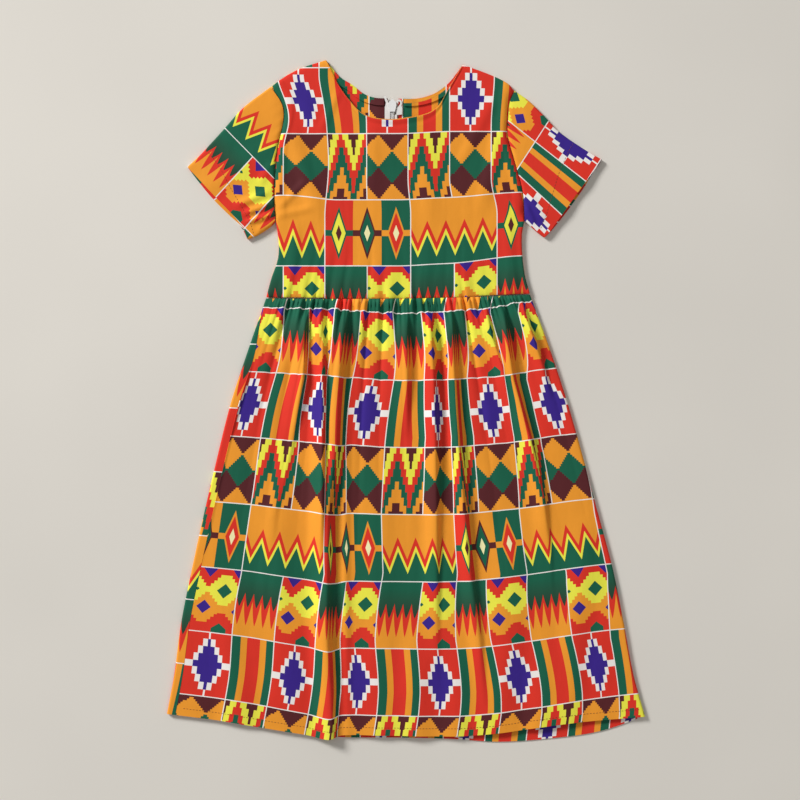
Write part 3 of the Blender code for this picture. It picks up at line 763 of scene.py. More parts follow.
MOTIFS = (
    # Stepped purple lozenge on red with a white stair round it
    Motif(
        "block < 0.5 and odd < 0.5",
        (("out", "abs(u - 0.5)"), ("tall", "abs(v - 0.5)"), ("step", "floor((tall + 0.065) / 0.115)")),
        (
            ("", Dye.RED),
            ("out < 0.018 or (step < 3.5 and out < " + stairs("step", 0.5, 0.3, 0.22, 0.13) + ")", Dye.WHITE),
            ("step < 3.5 and out < " + stairs("step", 0.3, 0.2, 0.12, 0.032), Dye.PURPLE),
        ),
    ),
    # Long stripes
    Motif(
        "block < 0.5 and odd > 0.5",
        (("out", "abs(u - 0.5175)"),),
        (("", Dye.GREEN), ("out < 0.3025", Dye.ORANGE), ("out < 0.1525", Dye.RED)),
    ),
    # Stepped checker diamonds
    Motif(
        "block > 0.5 and block < 1.5 and odd < 0.5",
        (
            ("a", "(floor(u / 0.041) * 0.041 - 0.26) / 0.33"),
            ("b", "(floor(v / 0.0306) * 0.0306 - 0.235) / 0.245"),
            ("step", "floor((a + b + 1) / 2) - floor((a - b + 1) / 2)"),
        ),
        (
            ("", Dye.ORANGE), ("step < -0.5 or (step > 1.5 and step < 2.5)", Dye.BROWN),
            ("step > 0.5 and step < 1.5", Dye.GREEN),
        ),
    ),
    # Stepped chevrons
    Motif(
        "block > 0.5 and block < 1.5 and odd > 0.5",
        (
            ("out", "min(u, abs(u - 0.656))"), ("peak", "min(abs(u - 0.34), 1 - u)"),
            ("step", "floor((v + 0.023) / 0.115)"), ("high", "floor((v - 0.51) / 0.12)"),
        ),
        (
            ("", Dye.GREEN),
            ("out < " + stairs("step", 0.4, 0.4, 0.27, 0.23, 0.175, 0.109, 0.055, 0.04, 0.0), Dye.RED),
            ("out < " + stairs("step", 0.28, 0.222, 0.164, 0.105, 0.05, 0.0), Dye.YELLOW),
            ("out < " + stairs("step", 0.129, 0.059, 0.031, 0.0), Dye.BROWN),
            ("v > 0.51 and peak < 0.047 + 0.068 * high", Dye.ORANGE),
            ("v > 0.83 and peak < 0.09 + 0.086 * (v > 0.955)", Dye.BROWN),
        ),
    ),
    # Zigzag bands over a double block
    Motif(
        "block > 1.5 and block < 2.5 and double < 1",
        (("wave", "abs(fract((double - 0.189) / 0.214 + 0.5) - 0.5) * 2"),),
        (
            ("", Dye.ORANGE), ("v > 0.338 + 0.33 * wave", Dye.RED), ("v > 0.465 + 0.335 * wave", Dye.YELLOW),
            ("v > 0.555 + 0.33 * wave", Dye.GREEN),
        ),
    ),
    # Three barred lozenges over a double block
    Motif(
        "block > 1.5 and block < 2.5 and double > 1",
        (
            ("third", "floor((double - 1) * 3)"), ("side", "abs(fract((double - 1) * 3) - 0.5)"),
            ("tall", "abs(v - 0.505)"),
        ),
        lozenge_layers(),
    ),
    # Toothed bands with small diamonds
    Motif(
        "block > 2.5 and odd < 0.5",
        (
            ("left", "abs(u - 0.28)"), ("right", "u - 0.815"),
            ("first", "max(max(0.242 - 0.048 * floor((left - 0.06) / 0.068), 0.10),"
                      " 0.148 + 0.048 * floor(right / 0.068))"),
            ("second", "min(min(0.472 + 0.046 * floor((abs(u - 0.3) - 0.13) / 0.07), 0.567),"
                       " 0.521 - 0.046 * floor((u - 0.82) / 0.068))"),
            ("third", "max(max(0.80 - 0.045 * floor((abs(u - 0.27) - 0.12) / 0.07), 0.69),"
                      " 0.735 + 0.045 * floor((u - 0.80) / 0.07))"),
        ),
        (
            ("", Dye.RED), ("v > first", Dye.YELLOW), ("v > min(second, 0.567)", Dye.ORANGE),
            ("v > min(third, 0.845)", Dye.RED),
            ("left / 0.18 + v / 0.145 < 1 or abs(u - 0.96) / 0.16 + v / 0.13 < 1", Dye.PURPLE),
            ("abs(u - 0.69) / 0.18 + abs(v - 0.345) / 0.114 < 1"
             " or abs(u - 0.043) / 0.05 + abs(v - 0.34) / 0.03 < 1", Dye.GREEN),
            ("abs(u - 0.265) / 0.17 + abs(v - 0.61) / 0.105 < 1"
             " or abs(u - 1) / 0.08 + abs(v - 0.65) / 0.05 < 1", Dye.PURPLE),
            ("v > 0.845 and abs(u - 0.67) < 0.17 * clamp((v - 0.845) / 0.085)", Dye.GREEN),
        ),
    ),
    # Flames
    Motif(
        "block > 2.5 and odd > 0.5",
        (("wave", "abs(fract((u - 0.19) / 0.205 + 0.5) - 0.5) * 2"), ("lick", "wave * (1.45 - 0.45 * wave)")),
        (
            ("", Dye.GREEN), ("clamp((v - 0.1) / 0.4) * 0.7", Dye.SOOT), ("v > 0.33 + 0.22 * lick", Dye.RED),
            ("v > 0.45 + 0.38 * lick", Dye.ORANGE),
        ),
    ),
)


@dataclass(frozen=True)
class PrintedCotton:
    """Plain-woven cotton poplin, printed and calendered.

    The dyes lie flat and bright on a smooth, nearly matt cloth, with a soft
    sheen at grazing angles and a faint thread grain.
    """

    name: str = "printed_cotton_poplin"
    roughness: float = 0.78
    sheen: float = 0.03
    # Threads are about 0.3 mm apart; drawn at 1.6 mm so that the grain shows.
    thread_spacing: float = 1.6
    wrinkle: float = 22.0

    def build(self) -> bpy.types.Material:
        """Make the cloth's material.

        Returns:
            The material, which reads the UV map "print".
        """
        material = bpy.data.materials.new(self.name)
        material.use_nodes = True
        tree = material.node_tree
        shader = tree.nodes["Principled BSDF"]
        uv = add_node(tree, "ShaderNodeUVMap", {"uv_map": "print"})
        places = add_node(tree, "ShaderNodeSeparateXYZ", inputs={0: uv.outputs[0]})
        formula = Formula(tree)
        formula.names.update(k=places.outputs[0], r=places.outputs[1])
        for name, text in (
            ("u", "fract(k)"), ("v", "fract(r)"), ("odd", "mod(floor(k), 2)"), ("block", "mod(floor(r), 4)"),
            ("double", "mod(k - 1, 4) / 2"),
        ):
            formula.let(name, text)
        colour = self.print_colour(tree, formula)
        grain = self.thread_grain(tree)
        tinted = add_node(tree, "ShaderNodeMix", {"data_type": "RGBA", "blend_type": "MULTIPLY"}, {
            0: 1.0, 6: colour, 7: grain["tint"],
        })
        tree.links.new(tinted.outputs[2], shader.inputs["Base Color"])
        tree.links.new(grain["bump"], shader.inputs["Normal"])
        shader.inputs["Roughness"].default_value = self.roughness
        shader.inputs["Sheen Weight"].default_value = self.sheen
        shader.inputs["Sheen Roughness"].default_value = 0.4
        shader.inputs["Specular IOR Level"].default_value = 0.3
        return material

    def print_colour(self, tree: bpy.types.NodeTree, formula: Formula) -> bpy.types.NodeSocket:
        """Print every motif and the fine white lines between the blocks.

        Args:
            tree: The material's node tree.
            formula: The formula reader, with the cloth places named.

        Returns:
            The printed colour.
        """
        shade: object = linear(Dye.ORANGE.value)
        for motif in MOTIFS:
            formula.let("here", motif.where)
            for name, text in motif.helpers:
                formula.let(name, text)
            for text, dye in motif.layers:
                amount = formula.read(f"here and ({text})" if text else "here")
                shade = self.over(tree, shade, amount, dye)
        across, down = PRINT_LINE / 2.0 / CELL_WIDTH, PRINT_LINE / 2.0 / CELL_HEIGHT
        formula.let("edge", f"abs(u - 0.5) > {0.5 - across}")
        formula.let("whole", "(block < 1.5 or block > 2.5)")
        formula.let("pair", f"abs(fract(double) - 0.5) > {0.5 - across / 2.0}")
        lines = f"(abs(v - 0.5) > {0.5 - down} or (edge and whole) or pair and not whole)"
        return self.over(tree, shade, formula.read(lines), Dye.WHITE)

    @staticmethod
    def over(tree: bpy.types.NodeTree, shade: object, amount: object, dye: Dye) -> bpy.types.NodeSocket:
        """Print one dye over what is there already.

        Args:
            tree: The material's node tree.
            shade: What is printed so far.
            amount: How much of the dye shows, from 0 to 1.
            dye: The dye.

        Returns:
            The new colour's socket.
        """
        mix = add_node(tree, "ShaderNodeMix", {"data_type": "RGBA"}, {
            0: amount, 6: shade, 7: linear(dye.value),
        })
        return mix.outputs[2]

    def thread_grain(self, tree: bpy.types.NodeTree) -> dict[str, bpy.types.NodeSocket]:
        """Weave grain, soft wrinkles and the slight unevenness of the dye.

        Args:
            tree: The material's node tree.

        Returns:
            The "tint" colour and the "bump" normal.
        """
        where = add_node(tree, "ShaderNodeTexCoord").outputs["Object"]
        blotch = add_node(tree, "ShaderNodeTexNoise", inputs={"Vector": where, "Scale": 38.0, "Detail": 2.0})
        tint = add_node(tree, "ShaderNodeMapRange", inputs={
            "Value": blotch.outputs[0], "From Min": 0.3, "From Max": 0.7, "To Min": 0.95, "To Max": 1.0,
        })
        uv = add_node(tree, "ShaderNodeUVMap", {"uv_map": "print"})
        cells = add_node(tree, "ShaderNodeVectorMath", {"operation": "MULTIPLY"}, {
            0: uv.outputs[0],
            1: (CELL_WIDTH / self.thread_spacing, CELL_HEIGHT / self.thread_spacing, 0.0),
        })
        weave = add_node(tree, "ShaderNodeTexChecker", inputs={"Vector": cells.outputs[0], "Scale": 1.0})
        fine = add_node(tree, "ShaderNodeBump", inputs={
            "Strength": 0.06, "Distance": 0.0002, "Height": weave.outputs[1],
        })
        stretched = add_node(tree, "ShaderNodeVectorMath", {"operation": "MULTIPLY"}, {
            0: where, 1: (1.0, 0.32, 1.0),
        })
        soft = add_node(tree, "ShaderNodeTexNoise", inputs={
            "Vector": stretched.outputs[0], "Scale": 1000.0 / self.wrinkle, "Detail": 3.0, "Roughness": 0.45,
        })
        bump = add_node(tree, "ShaderNodeBump", inputs={
            "Strength": 0.55, "Distance": 0.0016, "Height": soft.outputs[0], "Normal": fine.outputs[0],
        })
        return {"tint": tint.outputs[0], "bump": bump.outputs[0]}


@dataclass(frozen=True)
class PlainFinish:
    """A one-colour finish with a fine surface grain.

    Spun sewing thread and woven tape look matt and slightly rough; moulded
    nylon and enamelled metal look smooth with a small highlight.
    """

    name: str
    colour: str
    roughness: float
    metallic: float = 0.0
    grain_scale: float = 900.0
    grain: float = 0.15
    coat: float = 0.0

    def build(self) -> bpy.types.Material:
        """Make the finish's material.

        Returns:
            The material.
        """
        material = bpy.data.materials.new(self.name)
        material.use_nodes = True
        tree = material.node_tree
        shader = tree.nodes["Principled BSDF"]
        where = add_node(tree, "ShaderNodeTexCoord").outputs["Object"]
        noise = add_node(tree, "ShaderNodeTexNoise", inputs={"Vector": where, "Scale": self.grain_scale})
        tone = linear(self.colour)
        darker = tuple(part * 0.86 for part in tone[:3]) + (1.0,)
        mix = add_node(tree, "ShaderNodeMix", {"data_type": "RGBA"}, {
            0: noise.outputs[0], 6: darker, 7: tone,
        })
        bump = add_node(tree, "ShaderNodeBump", inputs={
            "Strength": self.grain, "Distance": 0.0002, "Height": noise.outputs[0],
        })
        tree.links.new(mix.outputs[2], shader.inputs["Base Color"])
        tree.links.new(bump.outputs[0], shader.inputs["Normal"])
        shader.inputs["Roughness"].default_value = self.roughness
        shader.inputs["Metallic"].default_value = self.metallic
        shader.inputs["Coat Weight"].default_value = self.coat
        return material


class Body(Enum):
    """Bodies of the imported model."""

    DRESS = "dress"
    PULL = "pull"


class Slot(Enum):
    """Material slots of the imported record."""

    CLOTH = "printed_cloth"
    TAPE = "zip_tape_cloth"
    NYLON = "zip_nylon"
    ENAMEL = "zip_enamel"


@dataclass(frozen=True)
class Finishes:
    """Every material of the dress."""

    cloth: bpy.types.Material
    thread: bpy.types.Material
    tape: bpy.types.Material
    nylon: bpy.types.Material
    enamel: bpy.types.Material

    @classmethod
    def build(cls) -> "Finishes":
        """Make all the finishes once.

        Returns:
            The dress's materials.
        """
        return cls(
            PrintedCotton().build(),
            PlainFinish("spun_polyester_thread", "7A3A22", 0.7, grain_scale=1500.0, grain=0.3).build(),
            PlainFinish("woven_polyester_tape", "ECEAE6", 0.85, grain_scale=1400.0, grain=0.5).build(),
            PlainFinish("moulded_nylon_coil", "E9E8E6", 0.42).build(),
            PlainFinish("enamelled_zinc_slider", "F3F3F1", 0.28, coat=0.5, grain=0.05).build(),
        )


def finish_piece(
    piece: bpy.types.Object, body: Body, slot: Slot, nodes: Sequence[str] = (),
) -> bpy.types.Object:
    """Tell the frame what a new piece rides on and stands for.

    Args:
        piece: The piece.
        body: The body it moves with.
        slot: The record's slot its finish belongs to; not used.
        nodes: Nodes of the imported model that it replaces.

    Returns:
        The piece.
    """
    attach(piece, body.value)
    if nodes:
        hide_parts(*nodes)
    area = sum(face.area for face in piece.data.polygons) / 2.0
    log.info("%s: %d faces, %.4f m2, rides on %s", piece.name, len(piece.data.polygons), area, body.value)
    return piece


# ------------------------------------------------------------------ bodice

class Puckers:
    """Small irregular gathers that hang from the waist seam."""

    def __init__(self, seed: int) -> None:
        """Draw the gathers' places, heights and lengths.

        Args:
            seed: Start of the random draws.
        """
        draw = random.Random(seed)
        self.sets = []
        for count, height, length in ((24, 2.8, 14.0), (13, 2.7, 34.0), (8, 2.2, 110.0)):
            knots = [draw.uniform(0.35, 1.0) * (1.0 if item % 2 else -1.0) for item in range(2 * count + 2)]
            spots = np.cumsum([draw.uniform(0.6, 1.4) for _ in range(2 * count + 2)])
            self.sets.append((spots / spots[-1], knots, height, length))

    def height(self, share: float, depth: float) -> float:
        """Height of the gathers below the seam.

        Args:
            share: Share of the waist's width.
            depth: Distance below the seam.

        Returns:
            Height to add to the cloth.
        """
        total = 0.0
        for spots, knots, height, length in self.sets:
            item = min(max(int(np.searchsorted(spots, share)), 1), len(knots) - 1)
            span = spots[item] - spots[item - 1]
            ease = smooth_step((share - spots[item - 1]) / span)
            wave = knots[item - 1] + (knots[item] - knots[item - 1]) * ease
            total += height * (2.0 * abs(wave) ** 0.7 - 1.0) * math.exp(-depth / length)
        return total


WAIST_PUCKERS = Puckers(4)


@dataclass
class BodicePanel:
    """One cut piece of the bodice, on the upper or the lower layer."""

    name: str
    bottom: Curve
    top: Curve
    left: Curve
    right: Curve
    grain: Grain
    upper: bool
    lift: Callable[[float, float], float]
    turns_left: float
    turns_right: float
    neck: tuple[float, float]
    columns: int = 96
    rows: int = 84

    def __post_init__(self) -> None:
        """Prepare the panel's flat outline."""
        self.patch = blended_patch(self.bottom, self.top, self.left, self.right)

    def turned(self, run: float, fold: float) -> tuple[float, float]:
        """Where a point near an edge goes when the edge turns under.

        Args:
            run: Arc distance from the edge.
            fold: 1 where the edge turns under, 0 where it stays flat.

        Returns:
            The distance in from the outline and the share of full height.
        """
        if run >= PANEL_RADIUS * math.pi / 2.0:
            return run - PANEL_RADIUS * (math.pi / 2.0 - 1.0), 1.0
        angle = run / PANEL_RADIUS
        bent = PANEL_RADIUS * (1.0 - math.cos(angle))
        return run + (bent - run) * fold, 1.0 - fold * (1.0 - math.sin(angle))

    def seam_relief(
        self, from_left: float, from_right: float, from_top: float, from_waist: float, v: float, u: float,
    ) -> float:
        """Dips along the armhole and waist seams, and the rolled neck edge.

        Args:
            from_left: Distance from the left edge.
            from_right: Distance from the right edge.
            from_top: Distance from the top edge.
            from_waist: Distance from the waist seam.
            v: Share of the height.
            u: Share of the width.

        Returns:
            The height to add.
        """
        armhole = smooth_step((v - self.turns_left) / 0.04)
        total = -1.8 * armhole * math.exp(-min(from_left, from_right) / 2.8)
        total += 0.7 * armhole * bump((min(from_left, from_right) - 8.0) / 8.0)
        total -= 1.2 * math.exp(-from_waist / 2.2)
        total += WAIST_PUCKERS.height(u, from_waist * 2.6) * 0.4
        if self.neck[0] < u < self.neck[1]:
            total += 0.7 * bump((from_top - 2.0) / 4.0) - 0.35 * bump((from_top - 8.0) / 3.0)
        return total

    def point(self, u: float, v: float) -> tuple[Vector, Point]:
        """Place of a point of the panel and its place in the cloth.

        Args:
            u: Share of the width.
            v: Share of the height.

        Returns:
            The point in millimetres and its (column, row).
        """
        width = (self.right(v) - self.left(v)).length
        height = (self.top(u) - self.bottom(u)).length
        from_left, from_right, from_top = u * width, (1.0 - u) * width, (1.0 - v) * height
        rise = 1.0
        side_left = 1.0 if v < self.turns_left else 1.0 - smooth_step((v - self.turns_left) / 0.02)
        side_right = 1.0 if v < self.turns_right else 1.0 - smooth_step((v - self.turns_right) / 0.02)
        if from_left < from_right and self.turns_left > 0.0:
            run, share = self.turned(from_left, side_left)
            if from_left < 12.0:
                run += (from_left - run) * smooth_step(from_left / 12.0)
            u, rise = run / width, min(rise, share)
        elif self.turns_right > 0.0:
            run, share = self.turned(from_right, side_right)
            if from_right < 12.0:
                run += (from_right - run) * smooth_step(from_right / 12.0)
            u, rise = 1.0 - run / width, min(rise, share)
        if not self.neck[0] < u < self.neck[1]:
            run, share = self.turned(from_top, 1.0)
            if from_top < 12.0:
                run += (from_top - run) * smooth_step(from_top / 12.0)
            v, rise = 1.0 - run / height, min(rise, share)
        place = self.patch(min(max(u, 0.0), 1.0), min(max(v, 0.0), 1.0))
        depth = SEAM_GAP / 2.0 + PANEL_RADIUS * rise
        z = CENTRE_Z + depth if self.upper else CENTRE_Z - depth
        z += self.lift(place.x, place.y)
        column, row = self.grain.at(place.x, place.y)
        if self.upper:
            z += self.seam_relief(from_left, from_right, from_top, height - from_top, v, u)
            z += crease_height(BODICE_CREASES, place.x, place.y)
            more_column, more_row = ease_of_print(place.x, place.y)
            column, row = column + more_column, row + more_row
            if self.neck[0] < u < self.neck[1] and from_top < NECK_RIM:
                column, row = RIM_PLACE
        return Vector((place.x, place.y, z)), (column, row)

    def build(self, cloth: bpy.types.Material) -> bpy.types.Object:
        """Make the panel's shell.

        Args:
            cloth: Its material.

        Returns:
            The piece.
        """
        across = spread(self.columns, 3.0 / 280.0)
        along = spread(self.rows, 2.0 / 220.0)
        points, prints = [], []
        for v in along:
            row = [self.point(u, v) for u in across]
            points.append([tuple(point) for point, _ in row])
            prints.append([cloth_place for _, cloth_place in row])
        outer = np.array(points)
        places = np.array(prints)
        if not self.upper:
            outer, places = outer[:, ::-1], places[:, ::-1]
        return cloth_shell(self.name, outer, places, cloth)


def bump(off: float) -> float:
    """A soft hump: 1 where off is 0, and 0 from -1 and 1 outwards."""
    return (1.0 - off * off) ** 2 if abs(off) < 1.0 else 0.0


def crease_height(creases: Sequence[tuple[Point, Point, float, float]], x: float, y: float) -> float:
    """Soft creases of laid cloth at a place.

    Args:
        creases: Each crease's start, end, half width and height.
        x: Place across the dress.
        y: Place up the dress.

    Returns:
        Height to add.
    """
    total = 0.0
    for start, end, half_width, height in creases:
        run = Vector(end) - Vector(start)
        step = Vector((x, y)) - Vector(start)
        share = step.dot(run) / run.length_squared
        if -0.2 < share < 1.2:
            fade = smooth_step((share + 0.2) / 0.4) * (1.0 - smooth_step((share - 0.8) / 0.4))
            total += height * fade * bump((step - run * share).length / half_width)
    return total


def ease_of_print(x: float, y: float) -> Point:
    """How far the print leans or stretches on the bodice front.

    Args:
        x: Place across the dress.
        y: Place up the dress.

    Returns:
        Columns and rows to add.
    """
    high = smooth_step((y - 300.0) / 60.0)
    column = 0.14 * high * smooth_step((-x - 20.0) / 60.0) - 0.08 * high * smooth_step((x - 60.0) / 40.0)
    column -= 0.15 * bump((y - 316.0) / 42.0) * (1.0 - smooth_step((x + 125.0) / 50.0))
    column -= 0.09 * bump((x + 84.0) / 48.0) * bump((y - 262.0) / 60.0)
    column -= 0.144 * smooth_step((x + 88.0) / 200.0) * smooth_step((245.0 - y) / 40.0)
    row = 0.1 * smooth_step((x - 40.0) / 95.0) * (293.7 - y) / 180.0
    row += 0.07 * bump((x + 135.0) / 60.0) * bump((y - 221.0) / 60.0)
    row += 0.035 * smooth_step((x + 10.0) / 60.0)
    row += 0.045 * smooth_step((x - 40.0) / 90.0) * smooth_step((294.0 - y) / 60.0)
    return column, row


def spread(count: int, edge: float) -> list[float]:
    """Shares from 0 to 1 that lie closer together near both ends.

    Args:
        count: Number of spans.
        edge: Share that the close ends take.

    Returns:
        count + 1 rising numbers.
    """
    near = [edge * step / 5.0 for step in range(5)]
    middle = count - 10
    shares = near + [edge + (1.0 - 2.0 * edge) * step / middle for step in range(middle + 1)]
    return shares + [1.0 - share for share in reversed(near)]


# The neck's turned rim shows an orange part of the cloth
NECK_RIM = 0.8
RIM_PLACE = (5.5, 3.97)

SLEEVE_CREASES = (
    ((-176, 206), (-148, 217), 5, 2.6),
    ((-174, 197), (-146, 205), 4, 2.8),
    ((-163, 187), (-146, 196), 3.5, 2.4),
    ((-184, 216), (-152, 229), 6, 1.8),
    ((-160, 240), (-147, 262), 7, 0.9),
    ((140, 196), (132, 214), 5, 1.2),
    ((152, 200), (136, 226), 6, 1.0),
    ((150, 300), (128, 318), 8, 0.9),
)

BODICE_CREASES = (
    ((-138, 214), (-112, 240), 6, 1.2),
    ((-140, 204), (-104, 212), 6, 1.1),
    ((126, 208), (104, 232), 6, 1.1),
    ((-74, 340), (-92, 300), 7, 0.8),

    ((-128, 300), (-96, 205), 13, 1.6),
    ((-118, 330), (-70, 270), 10, 0.9),
    ((104, 300), (84, 215), 12, 1.4),
    ((96, 330), (60, 262), 9, 0.9),
    ((-120, 190), (-128, 120), 10, 1.0),
    ((112, 190), (118, 122), 10, 1.0),
    ((-40, 300), (-36, 230), 14, 0.7),
    ((22, 290), (26, 200), 14, 0.7),
    ((-60, 118), (-56, 150), 8, 0.8),
    ((64, 120), (58, 156), 8, 0.8),
)


@dataclass
class Bodice:
    """Front panel and the two back panels."""

    neck_low: float = 0.22
    neck_high: float = 0.8
    neck_share: float = 0.45
    front_grain: Grain = Grain(2.2, 293.7, 5.0, 1.0, height=72.6)
    left_grain: Grain = Grain(-40.7, 324.0, 6.0, 1.74)
    right_grain: Grain = Grain(-3.9, 330.0, 5.0, 0.35, width=48.0)

    def panels(self) -> list[BodicePanel]:
        """Work out the three panels' outlines.

        Returns:
            Front, back left and back right.
        """
        share_left = path_length(SIDE_LEFT) / (path_length(SIDE_LEFT) + path_length(ARMHOLE_LEFT))
        share_right = path_length(SIDE_RIGHT) / (path_length(SIDE_RIGHT) + path_length(ARMHOLE_RIGHT))
        share = (share_left + share_right) / 2.0
        left = joined_curve((SIDE_LEFT, ARMHOLE_LEFT), (0.0, share, 1.0))
        right = joined_curve((SIDE_RIGHT, ARMHOLE_RIGHT), (0.0, share, 1.0))
        top = joined_curve(
            (SHOULDER_LEFT, FRONT_NECK, SHOULDER_RIGHT), (0.0, self.neck_low, self.neck_high, 1.0)
        )
        slot_left, slot_right = ZIP_X - SLOT_HALF_WIDTH, ZIP_X + SLOT_HALF_WIDTH
        close_left, close_right = ZIP_X - SEAM_GAP / 2.0, ZIP_X + SEAM_GAP / 2.0
        centre_left = (
            (close_left, 113), (close_left, 124), (slot_left, 135), (slot_left, 230), (slot_left, 333),
        )
        centre_right = (
            (close_right, 113), (close_right, 124), (slot_right, 135), (slot_right, 230), (slot_right, 332.5),
        )
        turn_share = self.neck_share
        return [
            BodicePanel(
                "bodice_front_cloth", curve_through(WAIST), top, left, right, self.front_grain, True,
                front_lift, share, share, (self.neck_low + 0.005, self.neck_high - 0.005), 130, 96,
            ),
            BodicePanel(
                "bodice_back_left_cloth", curve_through(WAIST_BACK_LEFT),
                joined_curve((SHOULDER_LEFT, BACK_NECK_LEFT), (0.0, turn_share, 1.0)), left,
                curve_through(centre_left), self.left_grain, False, back_lift, share, 0.0,
                (turn_share + 0.005, 2.0), 60, 80,
            ),
            BodicePanel(
                "bodice_back_right_cloth", curve_through(WAIST_BACK_RIGHT),
                joined_curve((BACK_NECK_RIGHT, SHOULDER_RIGHT), (0.0, 1.0 - turn_share, 1.0)),
                curve_through(centre_right), right, self.right_grain, False, back_lift, 0.0, share,
                (-1.0, 1.0 - turn_share - 0.005), 60, 80,
            ),
        ]

    def build(self, finishes: Finishes) -> None:
        """Args:
            finishes: The dress's materials.
        """
        front, back_left, back_right = self.panels()
        piece = finish_piece(front.build(finishes.cloth), Body.DRESS, Slot.CLOTH, ["bodice_front"])
        for panel in (back_left, back_right):
            node = panel.name.replace("_cloth", "")
            piece = finish_piece(panel.build(finishes.cloth), Body.DRESS, Slot.CLOTH, [node])


# ------------------------------------------------------------------ sleeves

@dataclass
class Sleeve:
    """One flattened sleeve, from its armhole to its hemmed cuff."""

    side: str
    armhole: Sequence[Point]
    cuff: Sequence[Point]
    top: Sequence[Point]
    under: Sequence[Point]
    outward: float
    back_reach: float
    grain: Grain
    hem_depth: float
    first_row: float = 0.0
    steps: int = 56
    spans: int = 44

    def __post_init__(self) -> None:
        """Prepare the sleeve's flat outline."""
        gap = Vector((self.outward * SEAM_GAP * 1.6, 0.0))
        down_armhole = curve_through([Vector(point) + gap for point in reversed(self.armhole)])
        self.top_out = curve_through([Vector(self.top[0]) + gap] + [Vector(point) for point in self.top[1:]])
        self.under_out = curve_through([Vector(self.under[0]) + gap] + [Vector(p) for p in self.under[1:]])
        self.patch = blended_patch(self.top_out, self.under_out, down_armhole, curve_through(self.cuff))
        run = Vector(self.cuff[-1]) - Vector(self.cuff[0])
        way = Vector((run.y, -run.x)).normalized()
        self.reach_way = way if way.x * self.outward > 0.0 else -way

    def point(self, u: float, arc: float, front: bool) -> tuple[Vector, Point]:
        """Place of a point of the sleeve.

        Args:
            u: Share of the way from the armhole to the cuff.
            arc: Share of the way from the top fold to the underarm.
            front: Whether it lies on the upper layer.

        Returns:
            The point in millimetres and its (column, row).
        """
        width = (self.under_out(u) - self.top_out(u)).length
        total = width + FOLD_RADIUS * (math.pi - 2.0)
        run, rise = arc * total, 1.0
        far = total - run
        near = min(run, far)
        if near < QUARTER:
            inset = FOLD_RADIUS * (1.0 - math.cos(near / FOLD_RADIUS))
            rise = math.sin(near / FOLD_RADIUS)
        else:
            inset = near - QUARTER + FOLD_RADIUS
        v = inset / width if run <= far else 1.0 - inset / width
        place = self.patch(u, v)
        column, row = self.grain.at(place.x, place.y)
        row = max(row, self.first_row)
        if not front:
            edge = self.top_out(u)
            fold_column = self.grain.at(edge.x, edge.y)[0]
            column = 2.0 * fold_column - column
            place = place + self.reach_way * self.back_reach * math.sin(math.pi * v) * u
        z = CENTRE_Z + (1.0 if front else -1.0) * FOLD_RADIUS * rise
        if front:
            wave = 1.0 + 0.5 * math.sin(arc * 17.0 + u * 3.0)
            z += 1.1 * math.sin(math.pi * arc) * (0.4 + 0.6 * u) * wave
            puff = math.exp(-u / 0.07) * (0.5 + 0.5 * math.cos(arc * 92.0 + 2.0 * math.sin(arc * 9.0)))
            groove = 1.9 * math.exp(-u * 95.0 / 2.6) * math.sin(math.pi * arc)
            z += 0.7 * puff * math.sin(math.pi * arc) - groove
            z += crease_height(SLEEVE_CREASES, place.x, place.y) * smooth_step(near / 12.0)
        return Vector((place.x, place.y, z)), (column, row)

    def build(self, finishes: Finishes) -> None:
        """Args:
            finishes: The dress's materials.
        """
        shares = [step / self.spans for step in range(self.spans + 1)]
        close = [0.0, 0.006, 0.012, 0.018, 0.024]
        far = [1.0 - share for share in reversed(close)]
        shares = close + [0.03 + 0.94 * share for share in shares] + far
        points, prints = [], []
        for step in range(self.steps + 1):
            u = step / self.steps
            row = [self.point(u, share, False) for share in reversed(shares)]
            row += [self.point(u, share, True) for share in shares[1:]]
            points.append([tuple(point) for point, _ in row])
            prints.append([place for _, place in row])
        outer, places = np.array(points), np.array(prints)
        if self.outward < 0.0:
            outer, places = outer[:, ::-1], places[:, ::-1]
        if cross_up(outer) < 0.0:
            outer, places = outer[:, ::-1], places[:, ::-1]
        shell = cloth_shell(f"sleeve_{self.side}_cloth", outer, places, finishes.cloth)
        piece = finish_piece(shell, Body.DRESS, Slot.CLOTH, [f"sleeve_{self.side}"])
        mid = (self.patch(1.0, 0.5) - self.patch(0.0, 0.5)).length
        level = 1.0 - self.hem_depth / mid
        route = [self.point(level, 0.02 + 0.96 * step / 90, True)[0] for step in range(91)]
        seam = finish_piece(
            stitch_row(f"sleeve_{self.side}_hem_stitches", route, finishes.thread), Body.DRESS, Slot.CLOTH
        )


def cross_up(outer: np.ndarray) -> float:
    """Upward part of the printed face's direction on the upper layer.

    Args:
        outer: Grid of the panel's printed points.

    Returns:
        A positive number where the printed face looks up.
    """
    rows, columns = outer.shape[:2]
    flat = outer.reshape(-1, 3)
    high = np.argmax(flat[:, 2].reshape(rows, columns)[rows // 2])
    high = min(max(int(high), 1), columns - 2)
    middle = rows // 2
    across = outer[middle, high + 1] - outer[middle, high - 1]
    along = outer[middle + 1, high] - outer[middle - 1, high]
    return float(np.cross(across, along)[2])


def printed_side_up(outer: np.ndarray, places: np.ndarray) -> tuple[np.ndarray, np.ndarray]:
    """Turn a panel's rows round if its printed face would look down.

    Args:
        outer: Grid of the panel's printed points.
        places: Their (column, row) places in the cloth.

    Returns:
        Both grids, with the printed face up.
    """
    if cross_up(outer) < 0.0:
        return outer[::-1], places[::-1]
    return outer, places


